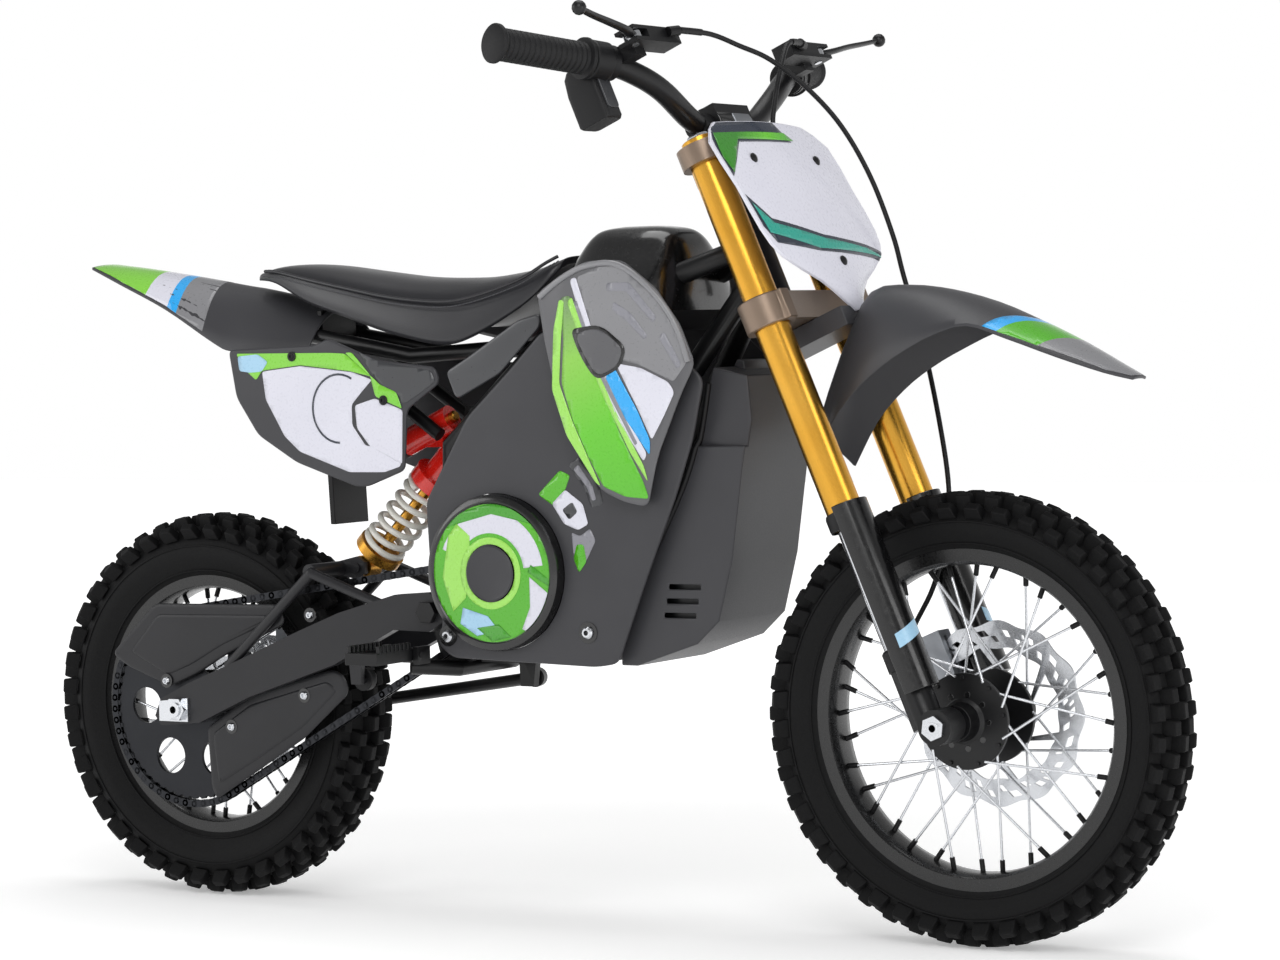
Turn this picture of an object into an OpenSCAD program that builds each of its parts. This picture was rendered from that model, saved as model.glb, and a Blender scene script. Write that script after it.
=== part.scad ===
// Child's electric dirt bike with spoked wheels, inverted fork, single rear shock and chain drive.
// +X points forward, +Y to the rider's left, +Z up. The origin is on the ground between the tyres.

/* [Wheels] */
// Outer radius of the front tyre over its tread blocks
front_tyre_r = 217.5; // [214:0.5:219]
// Outer radius of the rear tyre over its tread blocks
rear_tyre_r = 204; // [200:0.5:206]
// Half width of the front tyre
front_tyre_half = 31; // [28:1:34]
// Half width of the rear tyre
rear_tyre_half = 36; // [32:1:38]
// Number of spokes in each wheel
spoke_count = 32; // [24:4:36]
// Radius of a spoke
spoke_r = 1.5; // [1:0.1:2]

/* [Steering] */
// Distance from the bike's middle to each fork leg
leg_y = 76.3; // [75:0.1:78]
// Radius of the upper fork tubes
fork_tube_r = 17.5; // [16.5:0.5:18]
// Radius of the handlebar tube
bar_r = 11; // [10.5:0.1:11.2]
// Radius of the rubber grips
grip_r = 15.5; // [14.5:0.5:17]

/* [Drive and brakes] */
// Number of teeth on the rear sprocket
rear_teeth = 54; // [40:2:60]
// Number of teeth on the motor sprocket
motor_teeth = 13; // [10:1:14]
// Radius of the front brake disc
front_disc_r = 88; // [84:1:90]
// Radius of the rear brake disc
rear_disc_r = 74; // [70:1:78]

/* [Rider] */
// Length of each foot peg
peg_length = 66; // [50:1:75]
// Reach of the stowed side stand from its pivot
stand_length = 218; // [205:1:222]

/* [Hidden] */
$fn = 48;
wheelbase = 900;
front_x = 446.5;
rear_x = front_x - wheelbase;
rake = 23;
stem_x = 235.6;
stem_z = 600;
leg_x = 33;
axle_x = 44.7;
axle_z = -434.5;
gold_bottom = -227;
gold_top = 176;
stem_r = 12.5;
pivot_x = -130;
pivot_z = 313;
motor_x = -42;
motor_z = 345;
drum_z = 355;
chain_y = -55;
rear_pitch_r = 103;
motor_pitch_r = rear_pitch_r * motor_teeth / rear_teeth;
shock_top = [-112, 0, 505];
shock_eye = [-262, 0, 352];
shock_length = norm(shock_eye - shock_top);
shock_tilt = -135.6;
bar_low = [23, 0, 195];
bar_bend = [23, 50, 195];
bar_rise = [34, 115, 232];
bar_sweep = [26, 165, 256];
bar_end = [-10.9, 297.3, 288.2];
peg_pin_y = 100;
peg_z = 272;
stand_pivot = [-90, 56, 236];
stand_turn = 15.7;
weld = 1.08;
weld_gap = 0.28;
front_cable = [
    [79, -118, 268], [84, -70, 264], [88, -30, 252], [94, 10, 236], [98, 55, 205],
    [98, 95, 165], [94, 122, 112], [92, 124, 50], [92, 112, 5], [93, 96, -60],
    [84, 84, -140], [72, 70, -212], [56, 50, -262], [28, 45, -298], [-14, 56, -325],
    [-43, 65.5, -352]
];
rear_cable = [
    [79, 118, 268], [84, 80, 262], [80, 52, 235], [68, 38, 205], [59, 30, 178],
    [59, 30, 146], [40, 40, 118], [0, 42, 90], [-30, 42, 66], [-44, 38, 48]
];

// ---- helpers ----

// A round bar from p to q
module rod(p, q, r) {
    d = q - p;
    span = norm(d);
    translate(p)
        rotate([0, acos(d[2] / span), atan2(d[1], d[0])])
            cylinder(h = span, r = r);
}

// A tube bent at each inner point: straight lengths that end inside a slightly proud round weld
module bent_tube(points, r) {
    last = len(points) - 1;
    for (i = [0 : last - 1]) {
        way = (points[i + 1] - points[i]) / norm(points[i + 1] - points[i]);
        rod(points[i] + way * (i > 0 ? weld_gap * r : 0),
            points[i + 1] - way * (i < last - 1 ? weld_gap * r : 0), r);
    }
    for (i = [1 : last - 1])
        translate(points[i])
            sphere(r = r * weld);
}

// A welded frame tube with a mitred corner at each inner point, sixteen sided
module frame_tube(points, r) {
    last = len(points) - 1;
    function unit(v) = v / norm(v);
    function way(k) = unit(points[k + 1] - points[k]);
    function ring(k) =
        let (before = way(max(k - 1, 0)),
             after = way(min(k, last - 1)),
             cut = unit(before + after),
             side = unit(cross(cut, [1, 3, -1])),
             b = cross(cut, side))
        [for (s = [0 : 15]) points[k] + r * (cos(s * 22.5) * side + sin(s * 22.5) * b)];
    ring_loft([for (k = [0 : last]) ring(k)]);
}

// The same shape on both sides of the bike
module both_sides() {
    children();
    mirror([0, 1, 0])
        children();
}

// A plate cut from a side outline of [x, z] points, from y0 to y1
module side_plate(outline, y0, y1) {
    translate([0, y1, 0])
        rotate([90, 0, 0])
            linear_extrude(height = y1 - y0)
                polygon(outline);
}

// A cylinder along Y, from y0 to y1
module cross_cylinder(x, z, r, y0, y1) {
    translate([x, y1, z])
        rotate([90, 0, 0])
            cylinder(h = y1 - y0, r = r);
}

// The fork's own frame: +Z up along the steering axis, +X ahead of it
module in_fork() {
    translate([stem_x, 0, stem_z])
        rotate([0, -rake, 0])
            children();
}

// A wheel's own frame: its axle is local Z, which points to the right side
module on_axle(x, z) {
    translate([x, 0, z])
        rotate([90, 0, 0])
            children();
}

// A closed shell between two grids of points, each a list of rows
module shell_grid(outer, inner, flip = false) {
    rows = len(outer);
    cols = len(outer[0]);
    all_points = concat([for (row = outer) each row], [for (row = inner) each row]);
    half = rows * cols;
    function at(side, i, j) = side * half + i * cols + j;
    function two(a, b, c, d) = [[a, b, c], [a, c, d]];
    skin_faces = [for (i = [0 : rows - 2]) for (j = [0 : cols - 2]) each concat(
        two(at(0, i, j), at(0, i + 1, j), at(0, i + 1, j + 1), at(0, i, j + 1)),
        two(at(1, i, j), at(1, i, j + 1), at(1, i + 1, j + 1), at(1, i + 1, j)))];
    row_edges = [for (j = [0 : cols - 2]) each concat(
        two(at(0, 0, j), at(0, 0, j + 1), at(1, 0, j + 1), at(1, 0, j)),
        two(at(0, rows - 1, j + 1), at(0, rows - 1, j), at(1, rows - 1, j), at(1, rows - 1, j + 1)))];
    column_edges = [for (i = [0 : rows - 2]) each concat(
        two(at(0, i + 1, 0), at(0, i, 0), at(1, i, 0), at(1, i + 1, 0)),
        two(at(0, i, cols - 1), at(0, i + 1, cols - 1), at(1, i + 1, cols - 1), at(1, i, cols - 1)))];
    faces = concat(skin_faces, row_edges, column_edges);
    polyhedron(all_points, flip ? [for (f = faces) [f[2], f[1], f[0]]] : faces);
}

// A solid through closed rings of points, with flat ends
module ring_loft(rings) {
    count = len(rings);
    sides = len(rings[0]);
    points = [for (ring = rings) each ring];
    wall = [for (i = [0 : count - 2]) for (j = [0 : sides - 1]) each [
        [i * sides + j, (i + 1) * sides + j, (i + 1) * sides + (j + 1) % sides],
        [i * sides + j, (i + 1) * sides + (j + 1) % sides, i * sides + (j + 1) % sides]]];
    ends = [[for (j = [0 : sides - 1]) j],
            [for (j = [sides - 1 : -1 : 0]) (count - 1) * sides + j]];
    polyhedron(points, concat(wall, ends));
}

// Catmull-Rom point on a route, t counted in points
function route_at(route, t) =
    let (n = len(route) - 1,
         i = min(floor(t), n - 1),
         u = t - i,
         a = route[max(i - 1, 0)],
         b = route[i],
         c = route[i + 1],
         d = route[min(i + 2, n)])
    0.5 * (2 * b + (c - a) * u + (2 * a - 5 * b + 4 * c - d) * u * u
        + (3 * b - a - 3 * c + d) * u * u * u);

// A round cord swept along a route, eight sided
module cord(route, r, steps) {
    n = len(route) - 1;
    path = [for (k = [0 : n * steps]) route_at(route, k / steps)];
    last = len(path) - 1;
    function unit(v) = v / norm(v);
    function ring(k) =
        let (t = unit(path[min(k + 1, last)] - path[max(k - 1, 0)]),
             a = unit(cross(t, [1, 0.15, 0])),
             b = cross(t, a))
        [for (s = [0 : 7]) path[k] + r * (cos(s * 45) * a + sin(s * 45) * b)];
    ring_loft([for (k = [0 : last]) ring(k)]);
}

// ---- wheels ----

// A tyre as a revolved carcass, open towards the rim
module tyre(outer_r, half, bead_r, bead_half, flange_r) {
    middle = (outer_r + flange_r) / 2;
    crown = half - 7;
    wall = 7;
    outside = [
        [bead_r, bead_half], [flange_r + 1.5, bead_half], [flange_r + 6, bead_half + 5],
        [middle, half - 2], [outer_r - 16, half], [outer_r - 5, crown + 2], [outer_r, crown - 3]
    ];
    inside = [
        [outer_r - 13, crown - 8], [middle, half - 2 - wall], [flange_r + 4, bead_half - 5],
        [bead_r, bead_half - 6]
    ];
    rotate_extrude()
        polygon(concat(
            outside,
            [for (k = [len(outside) - 1 : -1 : 0]) [outside[k][0], -outside[k][1]]],
            [for (k = [len(inside) - 1 : -1 : 0]) [inside[k][0], -inside[k][1]]],
            inside));
}

// A channel rim
module rim(open_r, bead_r, bead_half, flange_r) {
    half_profile = [
        [open_r, 8], [open_r + 3, bead_half + 4], [flange_r, bead_half + 4],
        [flange_r, bead_half + 0.5], [bead_r - 0.3, bead_half + 0.5], [bead_r - 0.3, 11],
        [open_r + 3, 7]
    ];
    rotate_extrude()
        polygon(concat(
            half_profile,
            [for (k = [len(half_profile) - 1 : -1 : 0]) [half_profile[k][0], -half_profile[k][1]]]));
}

// Laced spokes, from the outside of each hub flange to the rim
module spokes(flange_r, flange_y, rim_r, lace) {
    pairs = spoke_count / 2;
    for (side = [-1, 1])
        for (k = [0 : pairs - 1]) {
            turn = 360 / pairs * k + (side > 0 ? 180 / pairs : 0);
            lean = (k % 2 == 0 ? lace : -lace);
            rod([flange_r * cos(turn), flange_r * sin(turn), side * flange_y],
                [rim_r * cos(turn + lean), rim_r * sin(turn + lean), side * 5], spoke_r);
        }
}

// A hub shell with two spoke flanges
module hub(body_r, half, flange_r, flange_y, bore_r) {
    difference() {
        union() {
            translate([0, 0, -half])
                cylinder(h = 2 * half, r = body_r);
            for (side = [-1, 1])
                translate([0, 0, side * flange_y - 2.5])
                    cylinder(h = 5, r = flange_r);
        }
        translate([0, 0, -half - 1])
            cylinder(h = 2 * half + 2, r = bore_r);
    }
}

// A brake disc with arms and a toothed edge
module brake_disc(r, thickness) {
    linear_extrude(height = thickness)
        difference() {
            circle(r = r);
            for (k = [0 : 7])
                rotate(45 * k)
                    translate([r + 9, 0])
                        circle(r = 13);
            difference() {
                circle(r = r - 25);
                circle(r = 33);
                for (k = [0 : 5])
                    rotate(60 * k)
                        translate([28, -5])
                            square([r - 40, 10]);
            }
            circle(r = 17.5);
        }
}

module front_tyre() {
    color("#1b1b1c")
        on_axle(front_x, front_tyre_r)
            tyre(front_tyre_r, front_tyre_half, 153, 17, 163);
}

module front_rim() {
    color("#202022")
        on_axle(front_x, front_tyre_r) {
            rim(147, 153, 17, 163);
            spokes(40, 34.1, 149, 38);
        }
}

module front_hub() {
    color("#1e1e20")
        on_axle(front_x, front_tyre_r) {
            hub(17, 50, 46, 28, 6.1);
            translate([0, 0, -43.9])
                difference() {
                    cylinder(h = 4, r = 30);
                    translate([0, 0, -1])
                        cylinder(h = 6, r = 16);
                }
        }
}

module front_disc() {
    color("#d8dade")
        on_axle(front_x, front_tyre_r)
            translate([0, 0, -47])
                brake_disc(front_disc_r, 3);
}

module rear_tyre() {
    color("#1b1b1c")
        on_axle(rear_x, rear_tyre_r)
            tyre(rear_tyre_r, rear_tyre_half, 128, 19, 138);
}

module rear_rim() {
    color("#202022")
        on_axle(rear_x, rear_tyre_r) {
            rim(123, 128, 19, 138);
            spokes(32, 29.7, 125, 36);
        }
}

module rear_hub() {
    color("#1e1e20")
        on_axle(rear_x, rear_tyre_r)
            difference() {
                union() {
                    hub(17, 52.5, 37, 24, 8.1);
                    for (z = [-47.5, 48])
                        translate([0, 0, z])
                            cylinder(h = 4.7, r = 32);
                }
                translate([0, 0, -60])
                    cylinder(h = 120, r = 8.1);
            }
}

module rear_disc() {
    color("#d8dade")
        on_axle(rear_x, rear_tyre_r)
            translate([0, 0, -50.6])
                brake_disc(rear_disc_r, 3);
}

module rear_sprocket() {
    color("#3a3b3d")
        on_axle(rear_x, rear_tyre_r)
            translate([0, 0, 53])
                linear_extrude(height = 4)
                    difference() {
                        circle(r = rear_pitch_r - 5);
                        for (k = [0 : rear_teeth - 1])
                            rotate(360 / rear_teeth * k)
                                translate([rear_pitch_r - 3, 0])
                                    circle(r = 4, $fn = 16);
                        for (k = [0 : 5])
                            rotate(60 * k)
                                translate([61, 0])
                                    circle(r = 19);
                        circle(r = 17.5);
                    }
}

// ---- rolling chassis ----

module main_frame() {
    lug_half = 46;
    color("#232325") {
        difference() {
            union() {
                in_fork()
                    translate([0, 0, 22])
                        cylinder(h = 106, r = 24);
                both_sides() {
                    frame_tube([[205, 20, 668], [130, 44, 640], [0, 50, 585], [-118, 46, 480],
                        [-130, 34, 330]], 11);
                    frame_tube([[218, 12, 640], [150, 34, 540], [58, 38, 300], [40, 36, 275],
                        [-100, 36, 275], [-130, 36, 300]], 11);
                    frame_tube([[-114, 0, 254], [-114, 50, 254], [-150, 84, 258]], 8);
                    side_plate([[-92, 268], [-136, 246], [-152, 300], [-152, 335], [-118, 350],
                        [-98, 326]], 30, 42);
                    peg_bracket();
                    side_plate([[-124, 492], [-100, 492], [-82, 506], [-88, 520], [-118, 520]],
                        16, 21);
                }
                cross_cylinder(-90, 512, 7, -48, 48);
                cross_cylinder(48, 275, 8, -36, 36);
                cross_cylinder(shock_top[0], shock_top[2], 5, -23, 23);
                cross_cylinder(pivot_x, pivot_z, 20, -lug_half, lug_half);
                translate([-96, -36, 260])
                    cube([130, 72, 5]);
                side_plate([[-98, 228], [-82, 228], [-76, 274], [-100, 274]], 38, 47.5);
            }
            in_fork()
                translate([0, 0, 20])
                    cylinder(h = 110, r = 19);
            cross_cylinder(pivot_x, pivot_z, 8, -lug_half - 1, lug_half + 1);
        }
        translate(stand_pivot)
            rotate([90, 0, stand_turn])
                translate([0, 0, -10])
                    cylinder(h = 22, r = 4);
    }
}

// Two ears and a pin that carry a folding foot peg, on the left side
module peg_bracket() {
    for (x = [-178, -131.5])
        translate([x, 84, 262])
            cube([5.5, 22, 18]);
    translate([-178, 84, 262])
        cube([52, 4, 12]);
    translate([-179, peg_pin_y, peg_z])
        rotate([0, 90, 0])
            cylinder(h = 54, r = 3.5);
}

module subframe() {
    color("#2a2a2c")
        both_sides() {
            frame_tube([[-38, 47, 579], [-165, 44, 572], [-300, 40, 596], [-382, 32, 604]], 8);
            frame_tube([[-134, 45, 491], [-200, 44, 536], [-268, 41.4, 590]], 7);
        }
}

module head_bearings() {
    color("#b9bcc0")
        in_fork()
            for (z = [23, 113])
                translate([0, 0, z])
                    difference() {
                        cylinder(h = 14, r = 19);
                        translate([0, 0, -1])
                            cylinder(h = 16, r = stem_r + 0.05);
                    }
}

module frame_bolts() {
    color("#c9ccd0") {
        cross_cylinder(pivot_x, pivot_z, 8, -84, 84);
        both_sides() {
            difference() {
                cross_cylinder(pivot_x, pivot_z, 12, 46, 57.6);
                cross_cylinder(pivot_x, pivot_z, 8, 45, 58);
            }
            translate([pivot_x, 86.5, pivot_z])
                rotate([90, 0, 0])
                    cylinder(h = 7, r = 12, $fn = 6);
            for (p = [[63, 297], [-104, 290], [150, 505]])
                cross_cylinder(p[0], p[1], 6, 83, 86);
            for (p = [[-290, 574], [-176, 528]])
                cross_cylinder(p[0], p[1], 5, 83, 85);
        }
    }
}

module side_panel(y0, y1, hole_r) {
    difference() {
        side_plate([[16, 595], [-20, 560], [-76, 510], [-128, 425], [-124, 340], [-112, 326],
            [-112, 298], [-118, 282], [-101, 268], [71, 263], [96, 267], [128, 345], [166, 432],
            [186, 486], [200, 545], [150, 590]], y0, y1);
        cross_cylinder(motor_x, drum_z, hole_r, y0 - 1, y1 + 1);
    }
    side_plate([[14, 612], [-12, 606], [-70, 572], [-100, 556], [-88, 528], [-36, 553],
        [14, 600]], y0, y1);
}

module side_panel_right() {
    color("#4b4b4e")
        side_panel(-83, -80, 79);
}

module side_panel_left() {
    color("#4b4b4e")
        side_panel(80, 83, 24);
}

module shrouds() {
    outline = [[20, 632], [50, 650], [79, 662], [120, 662], [158, 634], [184, 598], [199, 560],
        [182, 528], [156, 470], [143, 422], [116, 427], [91, 438], [63, 477], [43, 526], [28, 586]];
    window = [[63, 580], [90, 590], [118, 569], [88, 546]];
    color("#58585b")
        both_sides()
            difference() {
                side_plate(outline, 94, 97);
                side_plate(window, 93, 98);
            }
}

module tank_cover() {
    color("#161617")
        difference() {
            hull() {
                translate([46, -34, 692])
                    cube([90, 68, 4]);
                translate([24, -70, 650])
                    cube([132, 140, 2]);
                translate([30, -91, 612])
                    cube([128, 182, 2]);
            }
            hull() {
                translate([49, -31, 686])
                    cube([110, 62, 3]);
                translate([27, -67, 649])
                    cube([150, 134, 2]);
                translate([33, -88, 610])
                    cube([150, 176, 2]);
            }
        }
}

module battery_box() {
    wall = 3;
    outer = [[194, 540], [183, 486], [165, 438], [123, 359], [90, 280], [90, 264], [108, 264],
        [177, 287], [202, 310], [218, 370], [231, 457], [240, 505], [236, 548], [198, 556]];
    inner = [[197, 537], [186, 486], [168, 438], [126, 359], [93, 280], [93, 267], [108, 267],
        [176, 290], [199, 312], [215, 371], [228, 458], [236, 505], [233, 545], [200, 551]];
    color("#4a4a4d") {
        difference() {
            union() {
                side_plate(outer, -60, 60);
                intersection() {
                    side_plate(outer, -66, 66);
                    translate([80, -70, 250])
                        cube([170, 140, 230]);
                }
            }
            side_plate(inner, -57, 57);
            intersection() {
                side_plate(inner, -63, 63);
                translate([80, -70, 250])
                    cube([170, 140, 227]);
            }
            for (k = [0 : 2])
                translate([140 + 3 * k, -70, 312 + 14 * k])
                    cube([36, 8, 5]);
        }
        side_plate([[200, 555.6], [214, 552.6], [212, 562], [204, 563]], -24, 24);
    }
}

module battery_pack() {
    color("#2f6fae")
        side_plate([[184, 440], [146, 362], [112, 284], [168, 296], [192, 318], [210, 400],
            [222, 470], [196, 470]], -52, 52);
}

module controller() {
    color("#b4b7bb")
        translate([-56, -32, 436])
            cube([104, 64, 60]);
}

module motor() {
    color("#2c2d30")
        difference() {
            union() {
                cross_cylinder(motor_x, motor_z, 55, -40, 46);
                cross_cylinder(motor_x, motor_z, 20, -44, -40);
                for (y = [-42, 30])
                    translate([motor_x - 28, y, 286.2])
                        cube([56, 12, 16]);
            }
            cross_cylinder(motor_x, motor_z, 7.1, -50, -20);
        }
}

module motor_cover() {
    color("#6bbf2a")
        difference() {
            union() {
                cross_cylinder(motor_x, drum_z, 78.5, -94, -66);
                cross_cylinder(motor_x, drum_z, 72, -98, -94);
            }
            cross_cylinder(motor_x, drum_z, 75, -91, -65);
            translate([-140, -80, 250])
                cube([30, 16, 110]);
        }
}

module motor_sprocket() {
    color("#8a8c90")
        on_axle(motor_x, motor_z) {
            translate([0, 0, 21])
                cylinder(h = 41, r = 7);
            translate([0, 0, 53])
                difference() {
                    cylinder(h = 4, r = motor_pitch_r - 4.5);
                    for (k = [0 : motor_teeth - 1])
                        rotate(360 / motor_teeth * k)
                            translate([motor_pitch_r - 3, 0, -1])
                                cylinder(h = 6, r = 2.2, $fn = 16);
                }
        }
}

module seat() {
    // x, top, skirt edge, half width
    stations = [
        [-376, 665, 652, 28], [-340, 669, 646, 46], [-290, 667, 622, 60], [-230, 659, 604, 70],
        [-170, 652, 586, 76], [-110, 650, 574, 78], [-70, 652, 584, 76], [-20, 660, 614, 70],
        [8, 671, 640, 62], [21, 676, 656, 50]
    ];
    across = [-1, -0.98, -0.86, -0.5, 0, 0.5, 0.86, 0.98, 1];
    crown = [1, 0.45, 0.16, 0.04, 0, 0.04, 0.16, 0.45, 1];
    base = 0.62;
    function top_row(s) = [for (k = [0 : 8])
        [s[0], across[k] * s[3], s[1] - crown[k] * (s[1] - s[2])]];
    function base_row(s) = [for (k = [0 : 8])
        [s[0], across[k] * s[3] * 0.84, s[1] - max(crown[k], base) * (s[1] - s[2])]];
    color("#2b2b2e")
        shell_grid([for (s = stations) top_row(s)], [for (s = stations) base_row(s)], true);
}

module rear_fender() {
    // x, height on the middle line, height at the edges, half width
    stations = [
        [-284, 622, 592, 60], [-345, 638, 590, 64], [-384, 646, 592, 64], [-410, 650, 600, 62],
        [-475, 661, 630, 56], [-542, 671, 656, 48], [-592, 677, 674, 34]
    ];
    fractions = [for (k = [-4 : 4]) k / 4];
    function row(s, drop) = [for (f = fractions)
        [s[0], f * (s[3] - drop * 0.4), s[1] + (s[2] - s[1]) * pow(abs(f), 2.2) - drop]];
    color("#39393c") {
        shell_grid([for (s = stations) row(s, 0)], [for (s = stations) row(s, 3)]);
        side_plate([[-290, 621], [-296, 621], [-285.3, 398], [-279.3, 398]], -30, 30);
    }
}

module number_panels() {
    outline = [[-373, 582], [-364, 532], [-337, 493], [-289, 465], [-214, 440], [-200, 440],
        [-153, 457], [-149, 518], [-108, 545], [-113, 561], [-185, 569], [-245, 592], [-262, 585]];
    color("#e6e7ee")
        both_sides()
            side_plate(outline, 80, 83);
}

// ---- steering ----

module clamp_plate(height) {
    difference() {
        linear_extrude(height = height)
            difference() {
                union() {
                    circle(r = 24);
                    for (s = [-1, 1])
                        translate([leg_x, s * leg_y])
                            circle(r = 25);
                    polygon([[leg_x + 22, -leg_y], [leg_x + 22, leg_y], [leg_x - 12, leg_y + 8],
                        [-20, 14], [-20, -14], [leg_x - 12, -leg_y - 8]]);
                    for (s = [-1, 1])
                        translate([leg_x + 20, s * (leg_y + 2) - 8])
                            square([8, 16]);
                }
                for (s = [-1, 1])
                    translate([leg_x, s * leg_y])
                        circle(r = fork_tube_r);
            }
        translate([0, 0, -1])
            cylinder(h = height + 2, r = stem_r);
    }
}

module upper_clamp() {
    color("#8b7a6b")
        in_fork() {
            translate([0, 0, 150])
                clamp_plate(20);
            translate([0, 0, 170])
                difference() {
                    cylinder(h = 6, r = 14.5, $fn = 6);
                    translate([0, 0, -1])
                        cylinder(h = 8, r = stem_r);
                }
        }
}

module lower_clamp() {
    color("#8b7a6b")
        in_fork() {
            translate([0, 0, -22])
                clamp_plate(30);
            translate([0, 0, -22])
                cylinder(h = 196, r = stem_r);
        }
}

module fork_tubes() {
    color("#d9a441")
        in_fork()
            for (s = [-1, 1])
                translate([leg_x, s * leg_y, 0])
                    difference() {
                        translate([0, 0, gold_bottom])
                            cylinder(h = gold_top - gold_bottom, r = fork_tube_r);
                        translate([0, 0, gold_bottom - 1])
                            cylinder(h = 290, r = 13.9);
                    }
}

module handlebar() {
    function right(p) = [p[0], -p[1], p[2]];
    halfway = [bar_end, bar_sweep, bar_rise, bar_bend];
    route = concat([for (p = halfway) right(p)], [for (k = [3 : -1 : 0]) halfway[k]]);
    color("#1f1f21")
        in_fork()
            bent_tube(route, bar_r);
}

// The rising and swept lengths of the bar on one side, grown to radius r
module bar_tube(s, r) {
    rise = [bar_rise[0], s * bar_rise[1], bar_rise[2]];
    sweep = [bar_sweep[0], s * bar_sweep[1], bar_sweep[2]];
    tip = [bar_end[0], s * bar_end[1], bar_end[2]];
    rod(rise, sweep, r);
    rod(sweep, tip, r);
    translate(sweep)
        sphere(r = r * weld);
}

// Places its child on the bar's end, local Z outwards along the grip, from d mm past the last bend
module on_grip(s, d) {
    a = [bar_sweep[0], s * bar_sweep[1], bar_sweep[2]];
    b = [bar_end[0], s * bar_end[1], bar_end[2]];
    way = b - a;
    span = norm(way);
    translate(a + way * (d / span))
        rotate([0, acos(way[2] / span), atan2(way[1], way[0])])
            children();
}

module grip(inner_r) {
    difference() {
        union() {
            cylinder(h = 108, r = grip_r);
            cylinder(h = 4, r = grip_r + 5);
            translate([0, 0, 104])
                cylinder(h = 6, r = grip_r + 3.5);
        }
        translate([0, 0, -1])
            cylinder(h = 108, r = inner_r);
    }
}

module grip_left() {
    color("#1c1c1d")
        in_fork()
            on_grip(1, 36)
                grip(bar_r);
}

module throttle_grip() {
    color("#1c1c1d")
        in_fork()
            on_grip(-1, 36)
                grip(bar_r + 0.08);
}

module throttle_housing() {
    color("#232325")
        in_fork() {
            on_grip(-1, 12)
                difference() {
                    cylinder(h = 22, r = 19);
                    translate([0, 0, -1])
                        cylinder(h = 24, r = bar_r);
                }
            difference() {
                translate([-18, -194, 206])
                    cube([34, 28, 40]);
                on_grip(-1, -20)
                    cylinder(h = 31.9, r = 17.4);
            }
        }
}

module bar_clamp() {
    color("#b3b5b8")
        in_fork()
            difference() {
                union() {
                    for (y = [-34, 16])
                        translate([6, y, 170])
                            cube([34, 18, 26]);
                    translate([6, -34, 192])
                        cube([34, 68, 22]);
                }
                translate([bar_low[0], -36, bar_low[2]])
                    rotate([-90, 0, 0])
                        cylinder(h = 72, r = bar_r);
            }
}

// Both brake perches and the rider's switch block
module bar_controls() {
    color("#222224")
        in_fork() {
            for (s = [-1, 1]) {
                on_grip(s, 4.6)
                    difference() {
                        cylinder(h = 7, r = 17);
                        translate([0, 0, -1])
                            cylinder(h = 9, r = bar_r);
                    }
                difference() {
                    union() {
                        translate([36, s * 164 - 9, 251])
                            cube([20, 18, 16]);
                        translate([50, s * 150 - 40, 258])
                            cube([22, 80, 16]);
                    }
                    translate([61, s * 178, 250])
                        cylinder(h = 30, r = 4.2);
                    translate([45, s * 188 - 22, 262])
                        cube([40, 44, 8.4]);
                    bar_tube(s, bar_r + 0.01);
                }
                rod([74, s * 132, 268], [78, s * 119, 268], 5);
            }
            on_grip(1, 14)
                difference() {
                    union() {
                        cylinder(h = 20, r = 18);
                        translate([-14, -14, 0])
                            cube([28, 10, 20]);
                    }
                    translate([0, 0, -1])
                        cylinder(h = 22, r = bar_r);
                    translate([-30, -4, 10])
                        rotate([0, 90, 0])
                            cylinder(h = 18.5, r = 5.3);
                }
        }
}

module kill_button() {
    color("#d32a1e")
        in_fork()
            on_grip(1, 14)
                translate([-21, -4, 10])
                    rotate([0, 90, 0])
                        cylinder(h = 6.6, r = 5);
}

module brake_lever(s) {
    in_fork() {
        translate([61, s * 178, 258])
            cylinder(h = 16, r = 4.1);
        translate([61, s * 178, 262.4])
            cylinder(h = 7.6, r = 9);
        bent_tube([[62, s * 180, 266], [70, s * 204, 268], [74, s * 236, 273],
            [80, s * 290, 279]], 3.6);
        translate([81, s * 292, 279.5])
            sphere(r = 7);
    }
}

module brake_lever_right() {
    color("#c4c6ca")
        brake_lever(-1);
}

module brake_lever_left() {
    color("#c4c6ca")
        brake_lever(1);
}

// Number plate: rows give height, forward place and half width
module number_plate() {
    rows = [
        [182, 67, 86], [158, 72, 116], [108, 81, 114], [60, 88, 114], [30, 91, 98], [4, 93, 46],
        [-14, 94, 22], [-29, 95, 5]
    ];
    fractions = [for (k = [-4 : 4]) k / 4];
    function row(r, back) = [for (f = fractions) [r[1] - back - 7 * f * f, f * r[2], r[0]]];
    color("#e9eaf1")
        in_fork()
            shell_grid([for (r = rows) row(r, 0)], [for (r = rows) row(r, 3)], true);
}

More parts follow.
